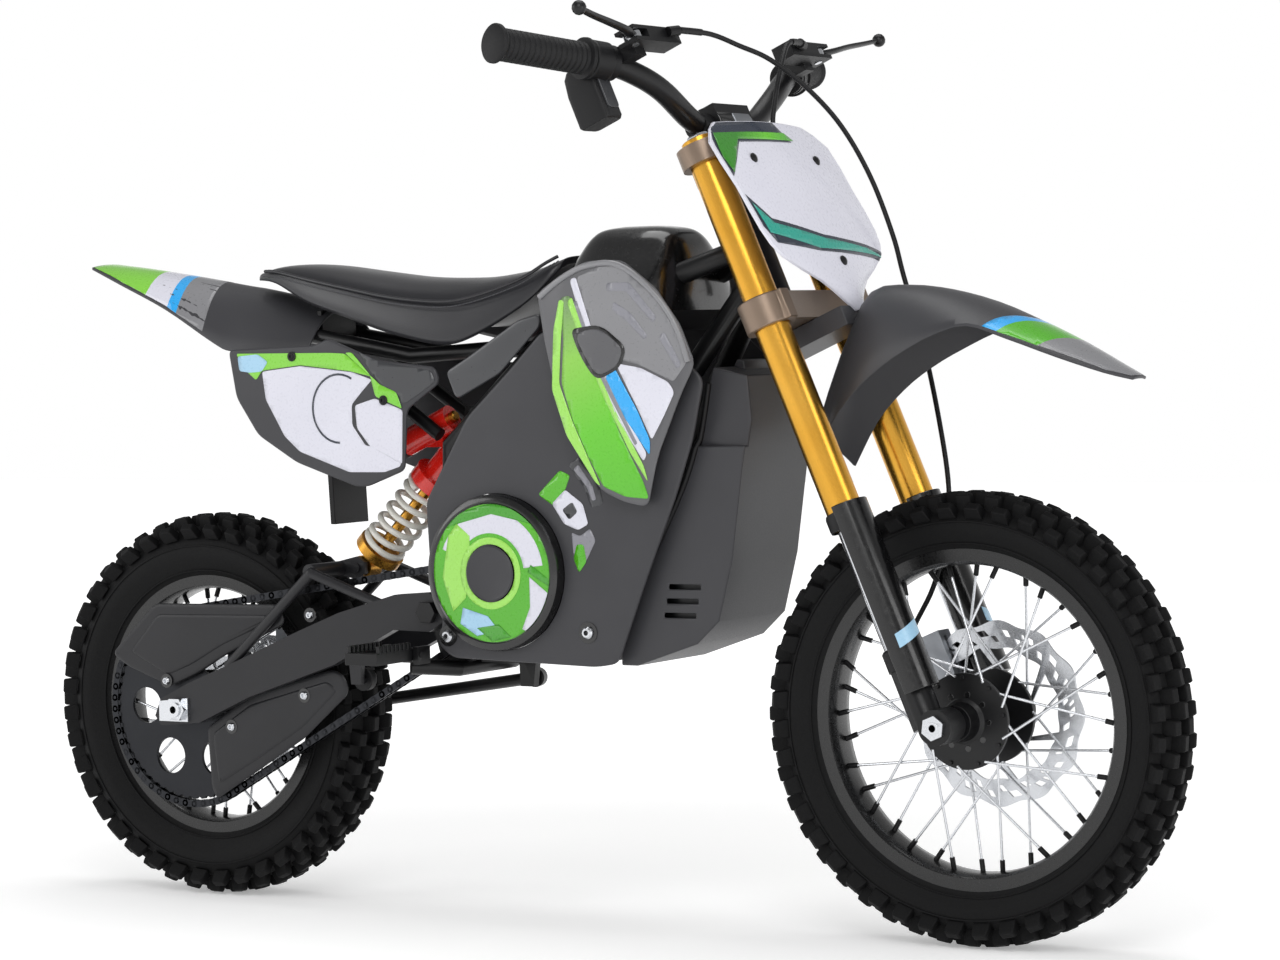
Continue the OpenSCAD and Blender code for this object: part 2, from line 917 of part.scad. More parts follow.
module front_fender() {
    // middle x, z, edge x, z, half width
    stations = [
        [281, 480, 294, 456, 44], [300, 535, 318, 500, 48], [320, 584, 345, 530, 52],
        [345, 626, 375, 553, 57], [385, 631, 406, 570, 63], [426, 626, 440, 585, 66],
        [466, 615, 474, 593, 64], [510, 597, 510, 581, 57], [560, 574, 558, 562, 45],
        [600, 552, 598, 547, 30], [621, 541, 620, 540, 14]
    ];
    fractions = [for (k = [-4 : 4]) k / 4];
    function row(s, drop, in) = [for (f = fractions)
        let (g = pow(abs(f), 2.2))
        [s[0] + (s[2] - s[0]) * g + in[0] * drop, f * (s[4] - drop * 0.4),
            s[1] + (s[3] - s[1]) * g + in[1] * drop]];
    function inward(k) = let (a = stations[max(k - 1, 0)],
                              b = stations[min(k + 1, len(stations) - 1)],
                              d = [b[0] - a[0], b[1] - a[1]])
        [d[1], -d[0]] / norm(d);
    last = len(stations) - 1;
    color("#3b3b3e") {
        shell_grid([for (k = [0 : last]) row(stations[k], 0, inward(k))],
                   [for (k = [0 : last]) row(stations[k], 3, inward(k))], true);
        in_fork()
            translate([-4, -30, -42])
                cube([90, 60, 19.5]);
    }
}

module front_brake_cable() {
    color("#1a1a1b")
        in_fork()
            cord(front_cable, 2.6, 4);
}

module rear_brake_cable() {
    color("#1a1a1b")
        in_fork()
            cord(rear_cable, 2.6, 3);
}

// ---- sliding fork parts ----

module fork_sliders() {
    lug_y0 = 60;
    lug_y1 = 92;
    color("#2a2a2c")
        in_fork()
            for (s = [-1, 1])
                difference() {
                    union() {
                        translate([leg_x, s * leg_y, -430])
                            cylinder(h = 376, r = 13.5);
                        translate([leg_x, s * leg_y, -430])
                            cylinder(h = 62, r = 16);
                        translate([axle_x, s * (lug_y0 + lug_y1) / 2, axle_z])
                            rotate([90, 0, 0])
                                translate([0, 0, -(lug_y1 - lug_y0) / 2])
                                    cylinder(h = lug_y1 - lug_y0, r = 17);
                        if (s > 0)
                            translate([leg_x - 26, 58, -398])
                                cube([22, 22, 44]);
                    }
                    translate([axle_x, s * (lug_y0 + lug_y1) / 2, axle_z])
                        rotate([90, 0, 0])
                            translate([0, 0, -40])
                                cylinder(h = 80, r = 6);
                }
}

module fork_guards() {
    color("#1f2022")
        in_fork()
            for (s = [-1, 1])
                translate([leg_x, s * leg_y, -396])
                    difference() {
                        cylinder(h = 190, r = 24);
                        translate([0, 0, -1])
                            cylinder(h = 192, r = 20.5);
                        translate([-40, -40, -1])
                            cube([40, 80, 192]);
                    }
}

module front_axle() {
    color("#cfd2d6")
        in_fork()
            translate([axle_x, 0, axle_z])
                difference() {
                    union() {
                        rotate([90, 0, 0])
                            translate([0, 0, -96.5])
                                cylinder(h = 193, r = 6);
                        for (s = [-1, 1]) {
                            translate([0, s * 94.2, 0])
                                rotate([90, 0, 0])
                                    translate([0, 0, -2.1])
                                        cylinder(h = 4.2, r = 12, $fn = 6);
                            translate([0, s * 55.4, 0])
                                rotate([90, 0, 0])
                                    translate([0, 0, -4.4])
                                        cylinder(h = 8.8, r = 10);
                        }
                    }
                    rotate([90, 0, 0])
                        translate([0, 0, -100])
                            cylinder(h = 200, r = 3.5);
                }
}

module front_caliper() {
    color("#b9bcc1")
        in_fork()
            difference() {
                union() {
                    translate([-16, 34, -398])
                        cube([38, 23.6, 60]);
                    translate([-20, 57.6, -396])
                        cube([26, 5, 40]);
                }
                translate([-20, 42.2, -420])
                    cube([50, 6.6, 76]);
                translate([-9, 50, -372])
                    rotate([-90, 0, 0])
                        cylinder(h = 20, r = 3.6);
            }
}

// A pulled brake arm on its pivot, local Z along the pivot; the spindle ends tip mm up
module brake_arm(length, tip) {
    difference() {
        union() {
            cylinder(h = 5, r = 8);
            translate([0, -4, 0])
                cube([length, 8, 5]);
            translate([length, 0, 0])
                cylinder(h = 5, r = 6);
        }
        translate([length, 0, -1])
            cylinder(h = 7, r = 2.8);
    }
    translate([0, 0, -10])
        cylinder(h = 10 + tip, r = 3.5);
}

module front_brake_arm() {
    color("#a9acb1")
        in_fork()
            translate([-9, 63, -372])
                rotate([-90, 0, 0])
                    rotate([0, 0, -165])
                        brake_arm(36, 7);
}

// ---- rear end ----

module swingarm() {
    arm = [[-486, 196], [-478, 214], [-440, 232], [-373, 258], [-295, 290], [-243, 310],
        [-172, 330], [-130, 333], [-112, 322], [-112, 304], [-130, 293], [-174, 294],
        [-251, 256], [-362, 219], [-428, 190], [-478, 186]];
    color("#454548") {
        difference() {
            union() {
                both_sides() {
                    side_plate(arm, 66, 79);
                    cross_cylinder(pivot_x, pivot_z, 18, 58, 66);
                    bent_tube([[-196, 72.5, 320], [-281, 72.5, 350], [-392, 72.5, 250]], 5.5);
                }
                cross_cylinder(-215, 300, 12, -70, 70);
                cross_cylinder(-284, 351, 8, -72, 72);
                side_plate([[-284, 344], [-262, 340], [-252, 346], [-252, 358], [-262, 364],
                    [-284, 359]], -18, -12);
                side_plate([[-284, 344], [-262, 340], [-252, 346], [-252, 358], [-262, 364],
                    [-284, 359]], 12, 18);
                cross_cylinder(shock_eye[0], shock_eye[2], 5, -21, 21);
                side_plate([[-218, 288], [-238, 280], [-234, 236], [-222, 236]], -72, -66);
            }
            cross_cylinder(pivot_x, pivot_z, 8.1, -90, 90);
            cross_cylinder(rear_x, rear_tyre_r, 8, -90, 90);
        }
        cross_cylinder(-228, 240.2, 4, -66.01, -48);
    }
}

module chain_guards() {
    color("#38393b") {
        side_plate([[-554, 259], [-494, 314], [-330, 316], [-322, 296], [-400, 262],
            [-440, 240], [-476, 226], [-533, 246]], -65.5, -62.8);
        side_plate([[-428, 184], [-424, 120], [-418, 108], [-367, 138], [-300, 178],
            [-243, 226], [-247, 243], [-262, 250], [-371, 221]], -65.5, -62.8);
        for (p = [[-394, 186], [-298, 222], [-479, 232], [-288, 306]])
            cross_cylinder(p[0], p[1], 4.5, -68.5, -65.5);
    }
}

module rear_axle() {
    color("#cfd2d6")
        difference() {
            union() {
                cross_cylinder(rear_x, rear_tyre_r, 8, -90, 90);
                both_sides() {
                    side_plate([[-478, 191], [-440, 191], [-440, 216], [-478, 212]], 79, 82);
                    translate([rear_x, 88, rear_tyre_r])
                        rotate([90, 0, 0])
                            cylinder(h = 6, r = 13, $fn = 6);
                    cross_cylinder(rear_x, rear_tyre_r, 12, 58, 65.8);
                }
            }
            cross_cylinder(rear_x, rear_tyre_r, 4, -100, 100);
        }
}

module rear_caliper() {
    color("#b9bcc1")
        difference() {
            union() {
                translate([-412, 38, 226])
                    cube([46, 22.4, 56]);
                side_plate([[-468, 196], [-440, 186], [-398, 226], [-398, 250], [-420, 250]],
                    59, 65.6);
            }
            translate([-430, 45.8, 200])
                cube([54, 6.4, 72]);
            cross_cylinder(rear_x, rear_tyre_r, 12.2, 57, 67);
            translate([-384, 52, 246])
                rotate([-90, 0, 0])
                    cylinder(h = 12, r = 3.6);
        }
}

module rear_brake_arm() {
    color("#a9acb1")
        translate([-384, 60.7, 246])
            rotate([-90, 0, 0])
                rotate([0, 0, -30])
                    brake_arm(30, 5);
}

// The loop that the chain lies in, as an outline grown by g
module chain_loop(g) {
    apart = norm([motor_x - rear_x, motor_z - rear_tyre_r]);
    slope = atan2(motor_z - rear_tyre_r, motor_x - rear_x);
    lean = acos((rear_pitch_r - motor_pitch_r) / apart);
    rotate(slope)
        polygon(concat(
            [for (k = [0 : 40]) (rear_pitch_r + g)
                * [cos(lean + k * (360 - 2 * lean) / 40), sin(lean + k * (360 - 2 * lean) / 40)]],
            [for (k = [0 : 16]) [apart, 0] + (motor_pitch_r + g)
                * [cos(-lean + k * 2 * lean / 16), sin(-lean + k * 2 * lean / 16)]]));
}

module chain() {
    color("#77797c")
        translate([rear_x, chain_y + 4.5, rear_tyre_r])
            rotate([90, 0, 0])
                linear_extrude(height = 9)
                    difference() {
                        chain_loop(3.8);
                        chain_loop(-4.2);
                    }
}

module chain_roller() {
    color("#2b2b2d")
        translate([-228, -51, 240.2])
            rotate([90, 0, 0])
                difference() {
                    cylinder(h = 9, r = 12);
                    translate([0, 0, -1])
                        cylinder(h = 11, r = 4.1);
                }
}

// The shock's own frame: local Z runs from the top eye to the lower eye
module in_shock() {
    translate(shock_top)
        rotate([0, shock_tilt, 0])
            children();
}

module shock_body() {
    color("#d8231b")
        difference() {
            union() {
                in_shock() {
                    translate([0, 0, 9])
                        cylinder(h = 15, r = 12);
                    translate([0, 0, 24])
                        cylinder(h = 56, r = 17);
                    translate([0, 0, 80])
                        cylinder(h = 14, r = 25);
                    rotate([90, 0, 0])
                        translate([0, 0, -14])
                            cylinder(h = 28, r = 12);
                }
                rod([-196, -23, 480], [-134, -23, 508], 14);
                translate([-172, -23, 478])
                    cube([26, 20, 22]);
            }
            cross_cylinder(shock_top[0], shock_top[2], 5.1, -30, 30);
            in_shock()
                translate([0, 0, 24])
                    cylinder(h = 90, r = 6.4);
        }
}

module shock_shaft() {
    color("#c8973c")
        difference() {
            in_shock() {
                translate([0, 0, 62])
                    cylinder(h = shock_length - 72, r = 6);
                translate([0, 0, shock_length - 30])
                    cylinder(h = 10, r = 26);
                translate([0, 0, shock_length])
                    rotate([90, 0, 0])
                        translate([0, 0, -10])
                            cylinder(h = 20, r = 12.5);
            }
            cross_cylinder(shock_eye[0], shock_eye[2], 7.8, -20, 20);
        }
}

module shock_spring() {
    turns = 7;
    start = 97.4;
    stop = shock_length - 33.4;
    color("#dcdde0")
        in_shock()
            for (k = [0 : turns - 1])
                translate([0, 0, start + (stop - start) / (turns - 1) * k])
                    rotate_extrude()
                        translate([21, 0])
                            circle(r = 3, $fn = 24);
}

// A folding foot peg on the left side
module peg() {
    difference() {
        union() {
            translate([-171.5, peg_pin_y, peg_z])
                rotate([0, 90, 0])
                    cylinder(h = 39, r = 7);
            translate([-171.5, peg_pin_y + 2, peg_z - 6])
                cube([39, peg_length, 12]);
            for (k = [0 : 7])
                for (x = [-171.5, -136.5])
                    translate([x, peg_pin_y + 9 + k * (peg_length - 16) / 7, peg_z + 5])
                        cube([4, 4.5, 8]);
        }
        translate([-173, peg_pin_y, peg_z])
            rotate([0, 90, 0])
                cylinder(h = 42, r = 3.6);
        translate([-163, peg_pin_y + 14, peg_z - 10])
            cube([22, peg_length - 22, 30]);
    }
}

module peg_left() {
    color("#26272a")
        peg();
}

module peg_right() {
    color("#26272a")
        mirror([0, 1, 0])
            peg();
}

module kickstand() {
    foot = stand_pivot + [-stand_length, 4, -33];
    color("#2a2a2c")
        difference() {
            union() {
                translate(stand_pivot)
                    rotate([90, 0, stand_turn])
                        translate([0, 0, -7])
                            cylinder(h = 12, r = 10);
                rod(stand_pivot + [-6, 2, -1], foot, 6.5);
                translate(foot)
                    sphere(r = 8);
            }
            translate(stand_pivot)
                rotate([90, 0, stand_turn])
                    translate([0, 0, -15])
                        cylinder(h = 30, r = 4.1);
        }
}

main_frame();
subframe();
head_bearings();
side_panel_right();
side_panel_left();
shrouds();
tank_cover();
battery_box();
battery_pack();
controller();
motor();
motor_cover();
seat();
rear_fender();
number_panels();
frame_bolts();
upper_clamp();
lower_clamp();
fork_tubes();
handlebar();
bar_clamp();
number_plate();
front_fender();
grip_left();
throttle_housing();
bar_controls();
front_brake_cable();
rear_brake_cable();
throttle_grip();
brake_lever_right();
brake_lever_left();
kill_button();
fork_sliders();
fork_guards();
front_axle();
front_caliper();
front_brake_arm();
front_tyre();
front_rim();
front_hub();
front_disc();
swingarm();
chain_guards();
rear_axle();
rear_caliper();
rear_brake_arm();
chain();
rear_tyre();
rear_rim();
rear_hub();
rear_sprocket();
rear_disc();
motor_sprocket();
chain_roller();
shock_body();
shock_shaft();
shock_spring();
peg_right();
peg_left();
kickstand();
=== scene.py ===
import math

import bmesh
import bpy
import numpy as np
from mathutils import Matrix, Vector
from mathutils.geometry import tessellate_polygon


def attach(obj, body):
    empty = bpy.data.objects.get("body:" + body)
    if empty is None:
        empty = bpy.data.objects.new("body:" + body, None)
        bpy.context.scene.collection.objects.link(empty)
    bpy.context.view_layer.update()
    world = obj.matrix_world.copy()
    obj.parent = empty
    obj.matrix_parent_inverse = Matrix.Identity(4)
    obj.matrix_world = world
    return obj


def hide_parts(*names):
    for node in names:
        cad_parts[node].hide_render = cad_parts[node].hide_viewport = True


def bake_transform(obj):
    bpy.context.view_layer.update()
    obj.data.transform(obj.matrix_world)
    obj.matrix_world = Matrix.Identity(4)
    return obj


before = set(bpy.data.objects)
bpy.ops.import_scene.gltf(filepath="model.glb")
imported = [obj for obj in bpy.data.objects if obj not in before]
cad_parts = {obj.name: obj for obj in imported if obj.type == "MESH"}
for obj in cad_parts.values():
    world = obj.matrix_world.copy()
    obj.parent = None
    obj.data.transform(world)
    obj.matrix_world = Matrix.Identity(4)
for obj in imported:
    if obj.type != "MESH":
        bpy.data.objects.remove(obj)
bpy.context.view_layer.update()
MM = 0.001
CAD_SHARP = math.radians(34)    # CAD edges sharper than this are rounded and shaded as edges
CAD_FLAT = math.radians(1)      # facets flatter than this are one face
MERGE_M, MERGE_MM = 2e-6, 0.003
FILM_MM = 0.2
RELAX = 0.6                     # share of each point's swelling taken from its neighbours

# ---- the bike's driving places, in millimetres, as the frame has them ----
FRONT = Vector((446.5, 0, 217.5))
REAR = Vector((-453.5, 0, 204))
STEM = Vector((235.6, 0, 600))
RAKE = math.radians(23)
LEG_X, LEG_Y = 33, 76.3
MOTOR = Vector((-42, 0, 345))
COVER = Vector((-42, 0, 355))
SHOCK_TOP, SHOCK_EYE = Vector((-112, 0, 505)), Vector((-262, 0, 352))
FORK_TO_BIKE = Matrix.Translation(STEM) @ Matrix.Rotation(-RAKE, 4, "Y")
BAR = [(23, 0, 195), (23, 50, 195), (34, 115, 232), (26, 165, 256), (-10.9, 297.3, 288.2)]


# ---- camera and light ----
def add_camera():
    data = bpy.data.cameras.new("camera")
    data.lens, data.sensor_width = 106.94, 36
    data.clip_start, data.clip_end = 0.1, 60
    right = Vector((0.85290, 0.52158, -0.02288)).normalized()
    forward = Vector((-0.52208, 0.85190, -0.04129)).normalized()
    up = right.cross(forward)
    camera = bpy.data.objects.new("camera", data)
    camera.matrix_world = Matrix((right, up, -forward)).transposed().to_4x4()
    camera.location = (2.0595, -3.2371, 0.6005)
    bpy.context.scene.collection.objects.link(camera)
    bpy.context.scene.camera = camera


def add_area_light(name, place, aim, size, watts):
    data = bpy.data.lights.new(name, "AREA")
    data.shape, data.size, data.size_y, data.energy = "RECTANGLE", size[0], size[1], watts
    light = bpy.data.objects.new(name, data)
    light.location = place
    light.rotation_euler = (Vector(aim) - Vector(place)).to_track_quat("-Z", "Y").to_euler()
    bpy.context.scene.collection.objects.link(light)


# ---- materials ----
def linear(hex_code):
    """An sRGB hex colour as linear RGBA."""
    parts = [int(hex_code[i:i + 2], 16) / 255 for i in (1, 3, 5)]
    return [p / 12.92 if p <= 0.04045 else ((p + 0.055) / 1.055) ** 2.4 for p in parts] + [1.0]


def add_node(tree, kind, settings=(), inputs=()):
    """One node with its settings, and its inputs given as values or as sockets to link."""
    node = tree.nodes.new(kind)
    for key, value in dict(settings).items():
        setattr(node, key, value)
    for key, value in dict(inputs).items():
        if isinstance(value, bpy.types.NodeSocket):
            tree.links.new(value, node.inputs[key])
        else:
            node.inputs[key].default_value = value
    return node


def surface(name, base, tint, roughness, metallic=0.0, coat=0.0, grain_mm=1.5, bump=0.1,
            stretch=(1, 1, 1), cells=False, spread=0.08, blotch_mm=60, specular=0.5):
    """A material with fine grain in its bump and roughness, and slow blotches in its colour."""
    material = bpy.data.materials.new(name)
    material.use_nodes = True
    tree = material.node_tree
    shader = tree.nodes["Principled BSDF"]
    shader.inputs["Metallic"].default_value = metallic
    shader.inputs["Coat Weight"].default_value = coat
    shader.inputs["Coat Roughness"].default_value = 0.08
    shader.inputs["Specular IOR Level"].default_value = specular
    place = add_node(tree, "ShaderNodeTexCoord").outputs["Object"]
    drawn = add_node(tree, "ShaderNodeMapping", inputs={"Vector": place, "Scale": stretch}).outputs[0]
    blotch = add_node(tree, "ShaderNodeTexNoise", inputs={
        "Vector": place, "Scale": 1000 / blotch_mm, "Detail": 4.0}).outputs["Fac"]
    colour = add_node(tree, "ShaderNodeMix", {"data_type": "RGBA"},
                      {0: blotch, 6: linear(base), 7: linear(tint)}).outputs[2]
    tree.links.new(colour, shader.inputs["Base Color"])
    if cells:
        grain = add_node(tree, "ShaderNodeTexVoronoi", {"feature": "DISTANCE_TO_EDGE"},
                         {"Vector": drawn, "Scale": 1000 / grain_mm}).outputs["Distance"]
    else:
        grain = add_node(tree, "ShaderNodeTexNoise", inputs={
            "Vector": drawn, "Scale": 1000 / grain_mm, "Detail": 3.0}).outputs["Fac"]
    rough = add_node(tree, "ShaderNodeMapRange", inputs={
        "Value": grain, "From Min": 0.25, "From Max": 0.75,
        "To Min": max(roughness - spread, 0.02), "To Max": min(roughness + spread, 1.0)}).outputs[0]
    tree.links.new(rough, shader.inputs["Roughness"])
    relief = add_node(tree, "ShaderNodeBump", inputs={
        "Height": grain, "Strength": bump, "Distance": grain_mm * MM * 0.3}).outputs[0]
    tree.links.new(relief, shader.inputs["Normal"])
    return material


def ink(name, base, tint, roughness=0.3, coat=0.35):
    """A printed film: flat ink under a clear layer."""
    return surface(name, base, tint, roughness, coat=coat, grain_mm=3, bump=0.03)


def fade(name, colours, start, end):
    """A printed film whose ink runs through several colours from one place to another."""
    material = ink(name, colours[0], colours[0])
    tree = material.node_tree
    a, b = Vector(start) * MM, Vector(end) * MM
    way = (b - a) / (b - a).length_squared
    place = add_node(tree, "ShaderNodeTexCoord").outputs["Object"]
    shifted = add_node(tree, "ShaderNodeVectorMath", {"operation": "SUBTRACT"}, {0: place, 1: a})
    share = add_node(tree, "ShaderNodeVectorMath", {"operation": "DOT_PRODUCT"},
                     {0: shifted.outputs[0], 1: way})
    ramp = add_node(tree, "ShaderNodeValToRGB", inputs={"Fac": share.outputs["Value"]})
    for k, code in enumerate(colours):
        stop = k / (len(colours) - 1)
        element = ramp.color_ramp.elements[k] if k < 2 else ramp.color_ramp.elements.new(stop)
        element.position, element.color = stop, linear(code)
    tree.links.new(ramp.outputs["Color"], tree.nodes["Principled BSDF"].inputs["Base Color"])
    return material


M = {
    # moulded polypropylene: dull, with a fine spark-eroded grain that breaks up the highlights
    "charcoal": surface("moulded_charcoal_polypropylene", "#333336", "#3c3c3f", 0.42, grain_mm=1.2,
                        bump=0.14, specular=0.35),
    "box": surface("moulded_grey_polypropylene", "#323235", "#3b3b3e", 0.4, grain_mm=1.2, bump=0.14,
                   specular=0.35),
    "shroud": surface("moulded_mid_grey_shroud", "#4c4c4f", "#565659", 0.34, coat=0.2, grain_mm=2,
                      bump=0.05),
    "shroud_pale": ink("printed_pale_grey_film", "#77777a", "#808083", 0.32, 0.3),
    "shroud_dark": ink("printed_dark_grey_film", "#2f3033", "#37383b", 0.34, 0.3),
    "gloss_black": surface("glossy_black_abs", "#060607", "#0b0b0c", 0.22, coat=0.4, grain_mm=4,
                           bump=0.02),
    "dull_black": surface("moulded_black_nylon", "#08080a", "#0e0e10", 0.48, grain_mm=0.9, bump=0.15,
                          specular=0.3),
    # printed vinyl film: flat inks under a clear layer
    "green": fade("printed_lime_film", ["#7cc63a", "#57b516", "#4aa60d"], (50, -97, 640),
                  (130, -97, 430)),
    "band": fade("printed_band_film", ["#63705e", "#84c244", "#5cbd15", "#50b00c"], (45, -97, 640),
                 (120, -97, 430)),
    "lime": ink("printed_light_lime_film", "#8fcf4a", "#9bd860"),
    "blue": ink("printed_sky_blue_film", "#1c9ade", "#2aa6ea"),
    "pale_blue": ink("printed_pale_blue_film", "#93bcd6", "#a3cae2"),
    "white": ink("printed_white_film", "#c9c9d4", "#d4d4de"),
    "teal": ink("printed_teal_film", "#1c8676", "#27a08e"),
    "navy": ink("printed_navy_film", "#1c2330", "#232c3c"),
    "line": ink("printed_grey_line", "#77777e", "#85858c", 0.32, 0.3),
    "plate_green": fade("printed_chevron_film", ["#2f7d1c", "#63bb2a", "#3f9522"], (240, -60, 790),
                        (262, 0, 740)),
    # anodised aluminium: dyed, drawn lengthwise, so the highlight is a long streak
    "gold": surface("gold_anodised_fork_tube", "#c78f2c", "#dba84a", 0.24, metallic=1.0, grain_mm=1.2,
                    bump=0.06, stretch=(6, 6, 0.4), spread=0.06),
    "taupe": surface("taupe_anodised_clamp", "#7d6c5e", "#8b7a6b", 0.38, metallic=0.75, grain_mm=0.8,
                     bump=0.1),
    "gold_small": surface("gold_anodised_collar", "#b98432", "#cf9a44", 0.3, metallic=1.0, grain_mm=1,
                          bump=0.05),
    # machined and plated steel
    "steel": surface("zinc_plated_steel", "#c3c5c9", "#d4d6da", 0.24, metallic=1.0, grain_mm=1,
                     bump=0.05),
    "bright": surface("polished_stainless", "#d2d4d8", "#e2e4e8", 0.16, metallic=1.0, grain_mm=1.5,
                      bump=0.03),
    "disc": surface("ground_stainless_disc", "#c6c8cc", "#dadce0", 0.26, metallic=0.9, grain_mm=0.8,
                    bump=0.08),
    "spoke": surface("stainless_spoke_wire", "#d8dade", "#e6e8ec", 0.25, metallic=0.85, grain_mm=1,
                     bump=0.02),
    "cast": surface("cast_aluminium", "#8e9196", "#a0a3a8", 0.42, metallic=0.9, grain_mm=1.2, bump=0.25),
    "chain": surface("oiled_chain_steel", "#2c2d30", "#3a3b3e", 0.34, metallic=0.95, grain_mm=1,
                     bump=0.1),
    "sprocket": surface("blackened_sprocket_steel", "#26272a", "#303134", 0.38, metallic=0.8, grain_mm=1,
                        bump=0.1),
    # powder coat: slight orange peel about a millimetre across
    "powder": surface("black_powder_coat", "#0a0a0b", "#101012", 0.36, grain_mm=1.4, bump=0.14,
                      specular=0.35),
    "arm": surface("charcoal_powder_coat", "#1b1b1d", "#232326", 0.38, grain_mm=1.4, bump=0.14,
                   specular=0.35),
    "rim": surface("black_enamelled_rim", "#070708", "#0c0c0d", 0.3, coat=0.2, grain_mm=2, bump=0.04),
    "red": surface("red_enamel", "#d01a12", "#e8281c", 0.24, coat=0.5, grain_mm=2, bump=0.03),
    "pearl": surface("white_enamelled_spring", "#d6d4cc", "#e6e4dc", 0.28, coat=0.4, grain_mm=2,
                     bump=0.03),
    # rubber: carbon black, dry and a little dusty
    "tyre": surface("tyre_rubber", "#050506", "#0a0a0b", 0.66, grain_mm=1.6, bump=0.25, specular=0.2),
    "grip": surface("grip_rubber", "#0d0d0e", "#151517", 0.6, grain_mm=1.0, bump=0.25, specular=0.3),
    # PVC leathercloth: small raised cells about 1.6 mm across, drawn a little coarse to show
    "vinyl": surface("grained_seat_leathercloth", "#1d1d20", "#26262a", 0.4, grain_mm=2.2, bump=0.16,
                     cells=True),
    "thread": surface("polyester_thread", "#3a3a3e", "#46464a", 0.6, grain_mm=0.6, bump=0.2),
    "cell": surface("black_heat_shrink", "#101114", "#17181c", 0.35, grain_mm=4, bump=0.1),
}


# ---- shapes ----
def flow(rows, steps):
    """Points or stations on a Catmull-Rom curve through the given ones."""
    rows = [np.array(r, float) for r in rows]
    out = []
    for i in range(len(rows) - 1):
        a, b, c, d = (rows[max(0, min(len(rows) - 1, k))] for k in (i - 1, i, i + 1, i + 2))
        for s in range(steps):
            u = s / steps
            out.append(0.5 * (2 * b + (c - a) * u + (2 * a - 5 * b + 4 * c - d) * u * u
                              + (3 * b - a - 3 * c + d) * u ** 3))
    return out + [rows[-1]]


def rounded(points, radius, steps=5, closed=False):
    """The same path with its corners turned into arcs; closed for an outline."""
    points = [Vector(p) for p in points]
    out = []
    for i, p in enumerate(points):
        if not closed and i in (0, len(points) - 1):
            out.append(p)
            continue
        before, after = points[i - 1] - p, points[(i + 1) % len(points)] - p
        reach = min(radius, before.length * 0.45, after.length * 0.45)
        a, b = p + before.normalized() * reach, p + after.normalized() * reach
        for s in range(steps + 1):
            u = s / steps
            out.append(a * (1 - u) ** 2 + p * 2 * u * (1 - u) + b * u * u)
    return out


def along(way):
    """Turns local Z to point along a direction."""
    return way.to_track_quat("Z", "Y").to_matrix().to_4x4()


def copier(round_axle):
    """Geometry Nodes that copy an object round the Y axis, or along the path that they are on."""
    tree = bpy.data.node_groups.new("copies_round_axle" if round_axle else "copies_on_path",
                                    "GeometryNodeTree")
    face = tree.interface
    face.new_socket("Geometry", in_out="INPUT", socket_type="NodeSocketGeometry")
    sockets = {
        "piece": face.new_socket("Piece", in_out="INPUT", socket_type="NodeSocketObject"),
        "count": face.new_socket("Count", in_out="INPUT", socket_type="NodeSocketInt"),
        "material": face.new_socket("Material", in_out="INPUT", socket_type="NodeSocketMaterial"),
    }
    face.new_socket("Geometry", in_out="OUTPUT", socket_type="NodeSocketGeometry")
    given = add_node(tree, "NodeGroupInput").outputs
    copy = add_node(tree, "GeometryNodeObjectInfo", inputs={"Object": given["Piece"]})
    if round_axle:
        spots = add_node(tree, "GeometryNodePoints", inputs={"Count": given["Count"]}).outputs[0]
        step = add_node(tree, "ShaderNodeMath", {"operation": "DIVIDE"},
                        {0: 2 * math.pi, 1: given["Count"]}).outputs[0]
        index = add_node(tree, "GeometryNodeInputIndex").outputs[0]
        angle = add_node(tree, "ShaderNodeMath", {"operation": "MULTIPLY"},
                         {0: step, 1: index}).outputs[0]
        turn = add_node(tree, "ShaderNodeCombineXYZ", inputs={"Y": angle}).outputs[0]
    else:
        curve = add_node(tree, "GeometryNodeMeshToCurve", inputs={"Mesh": given["Geometry"]}).outputs[0]
        spots = add_node(tree, "GeometryNodeResampleCurve",
                         inputs={"Curve": curve, "Count": given["Count"]}).outputs[0]
        tangent = add_node(tree, "GeometryNodeInputTangent").outputs[0]
        turn = add_node(tree, "FunctionNodeAlignRotationToVector", {"axis": "X", "pivot_axis": "Y"},
                        {"Vector": tangent}).outputs[0]
    laid = add_node(tree, "GeometryNodeInstanceOnPoints", inputs={
        "Points": spots, "Instance": copy.outputs["Geometry"], "Rotation": turn}).outputs[0]
    real = add_node(tree, "GeometryNodeRealizeInstances", inputs={"Geometry": laid}).outputs[0]
    done = add_node(tree, "GeometryNodeSetMaterial",
                    inputs={"Geometry": real, "Material": given["Material"]}).outputs[0]
    add_node(tree, "NodeGroupOutput", inputs={"Geometry": done})
    return tree, {key: socket.identifier for key, socket in sockets.items()}


ROUND_AXLE, ON_PATH = copier(True), copier(False)


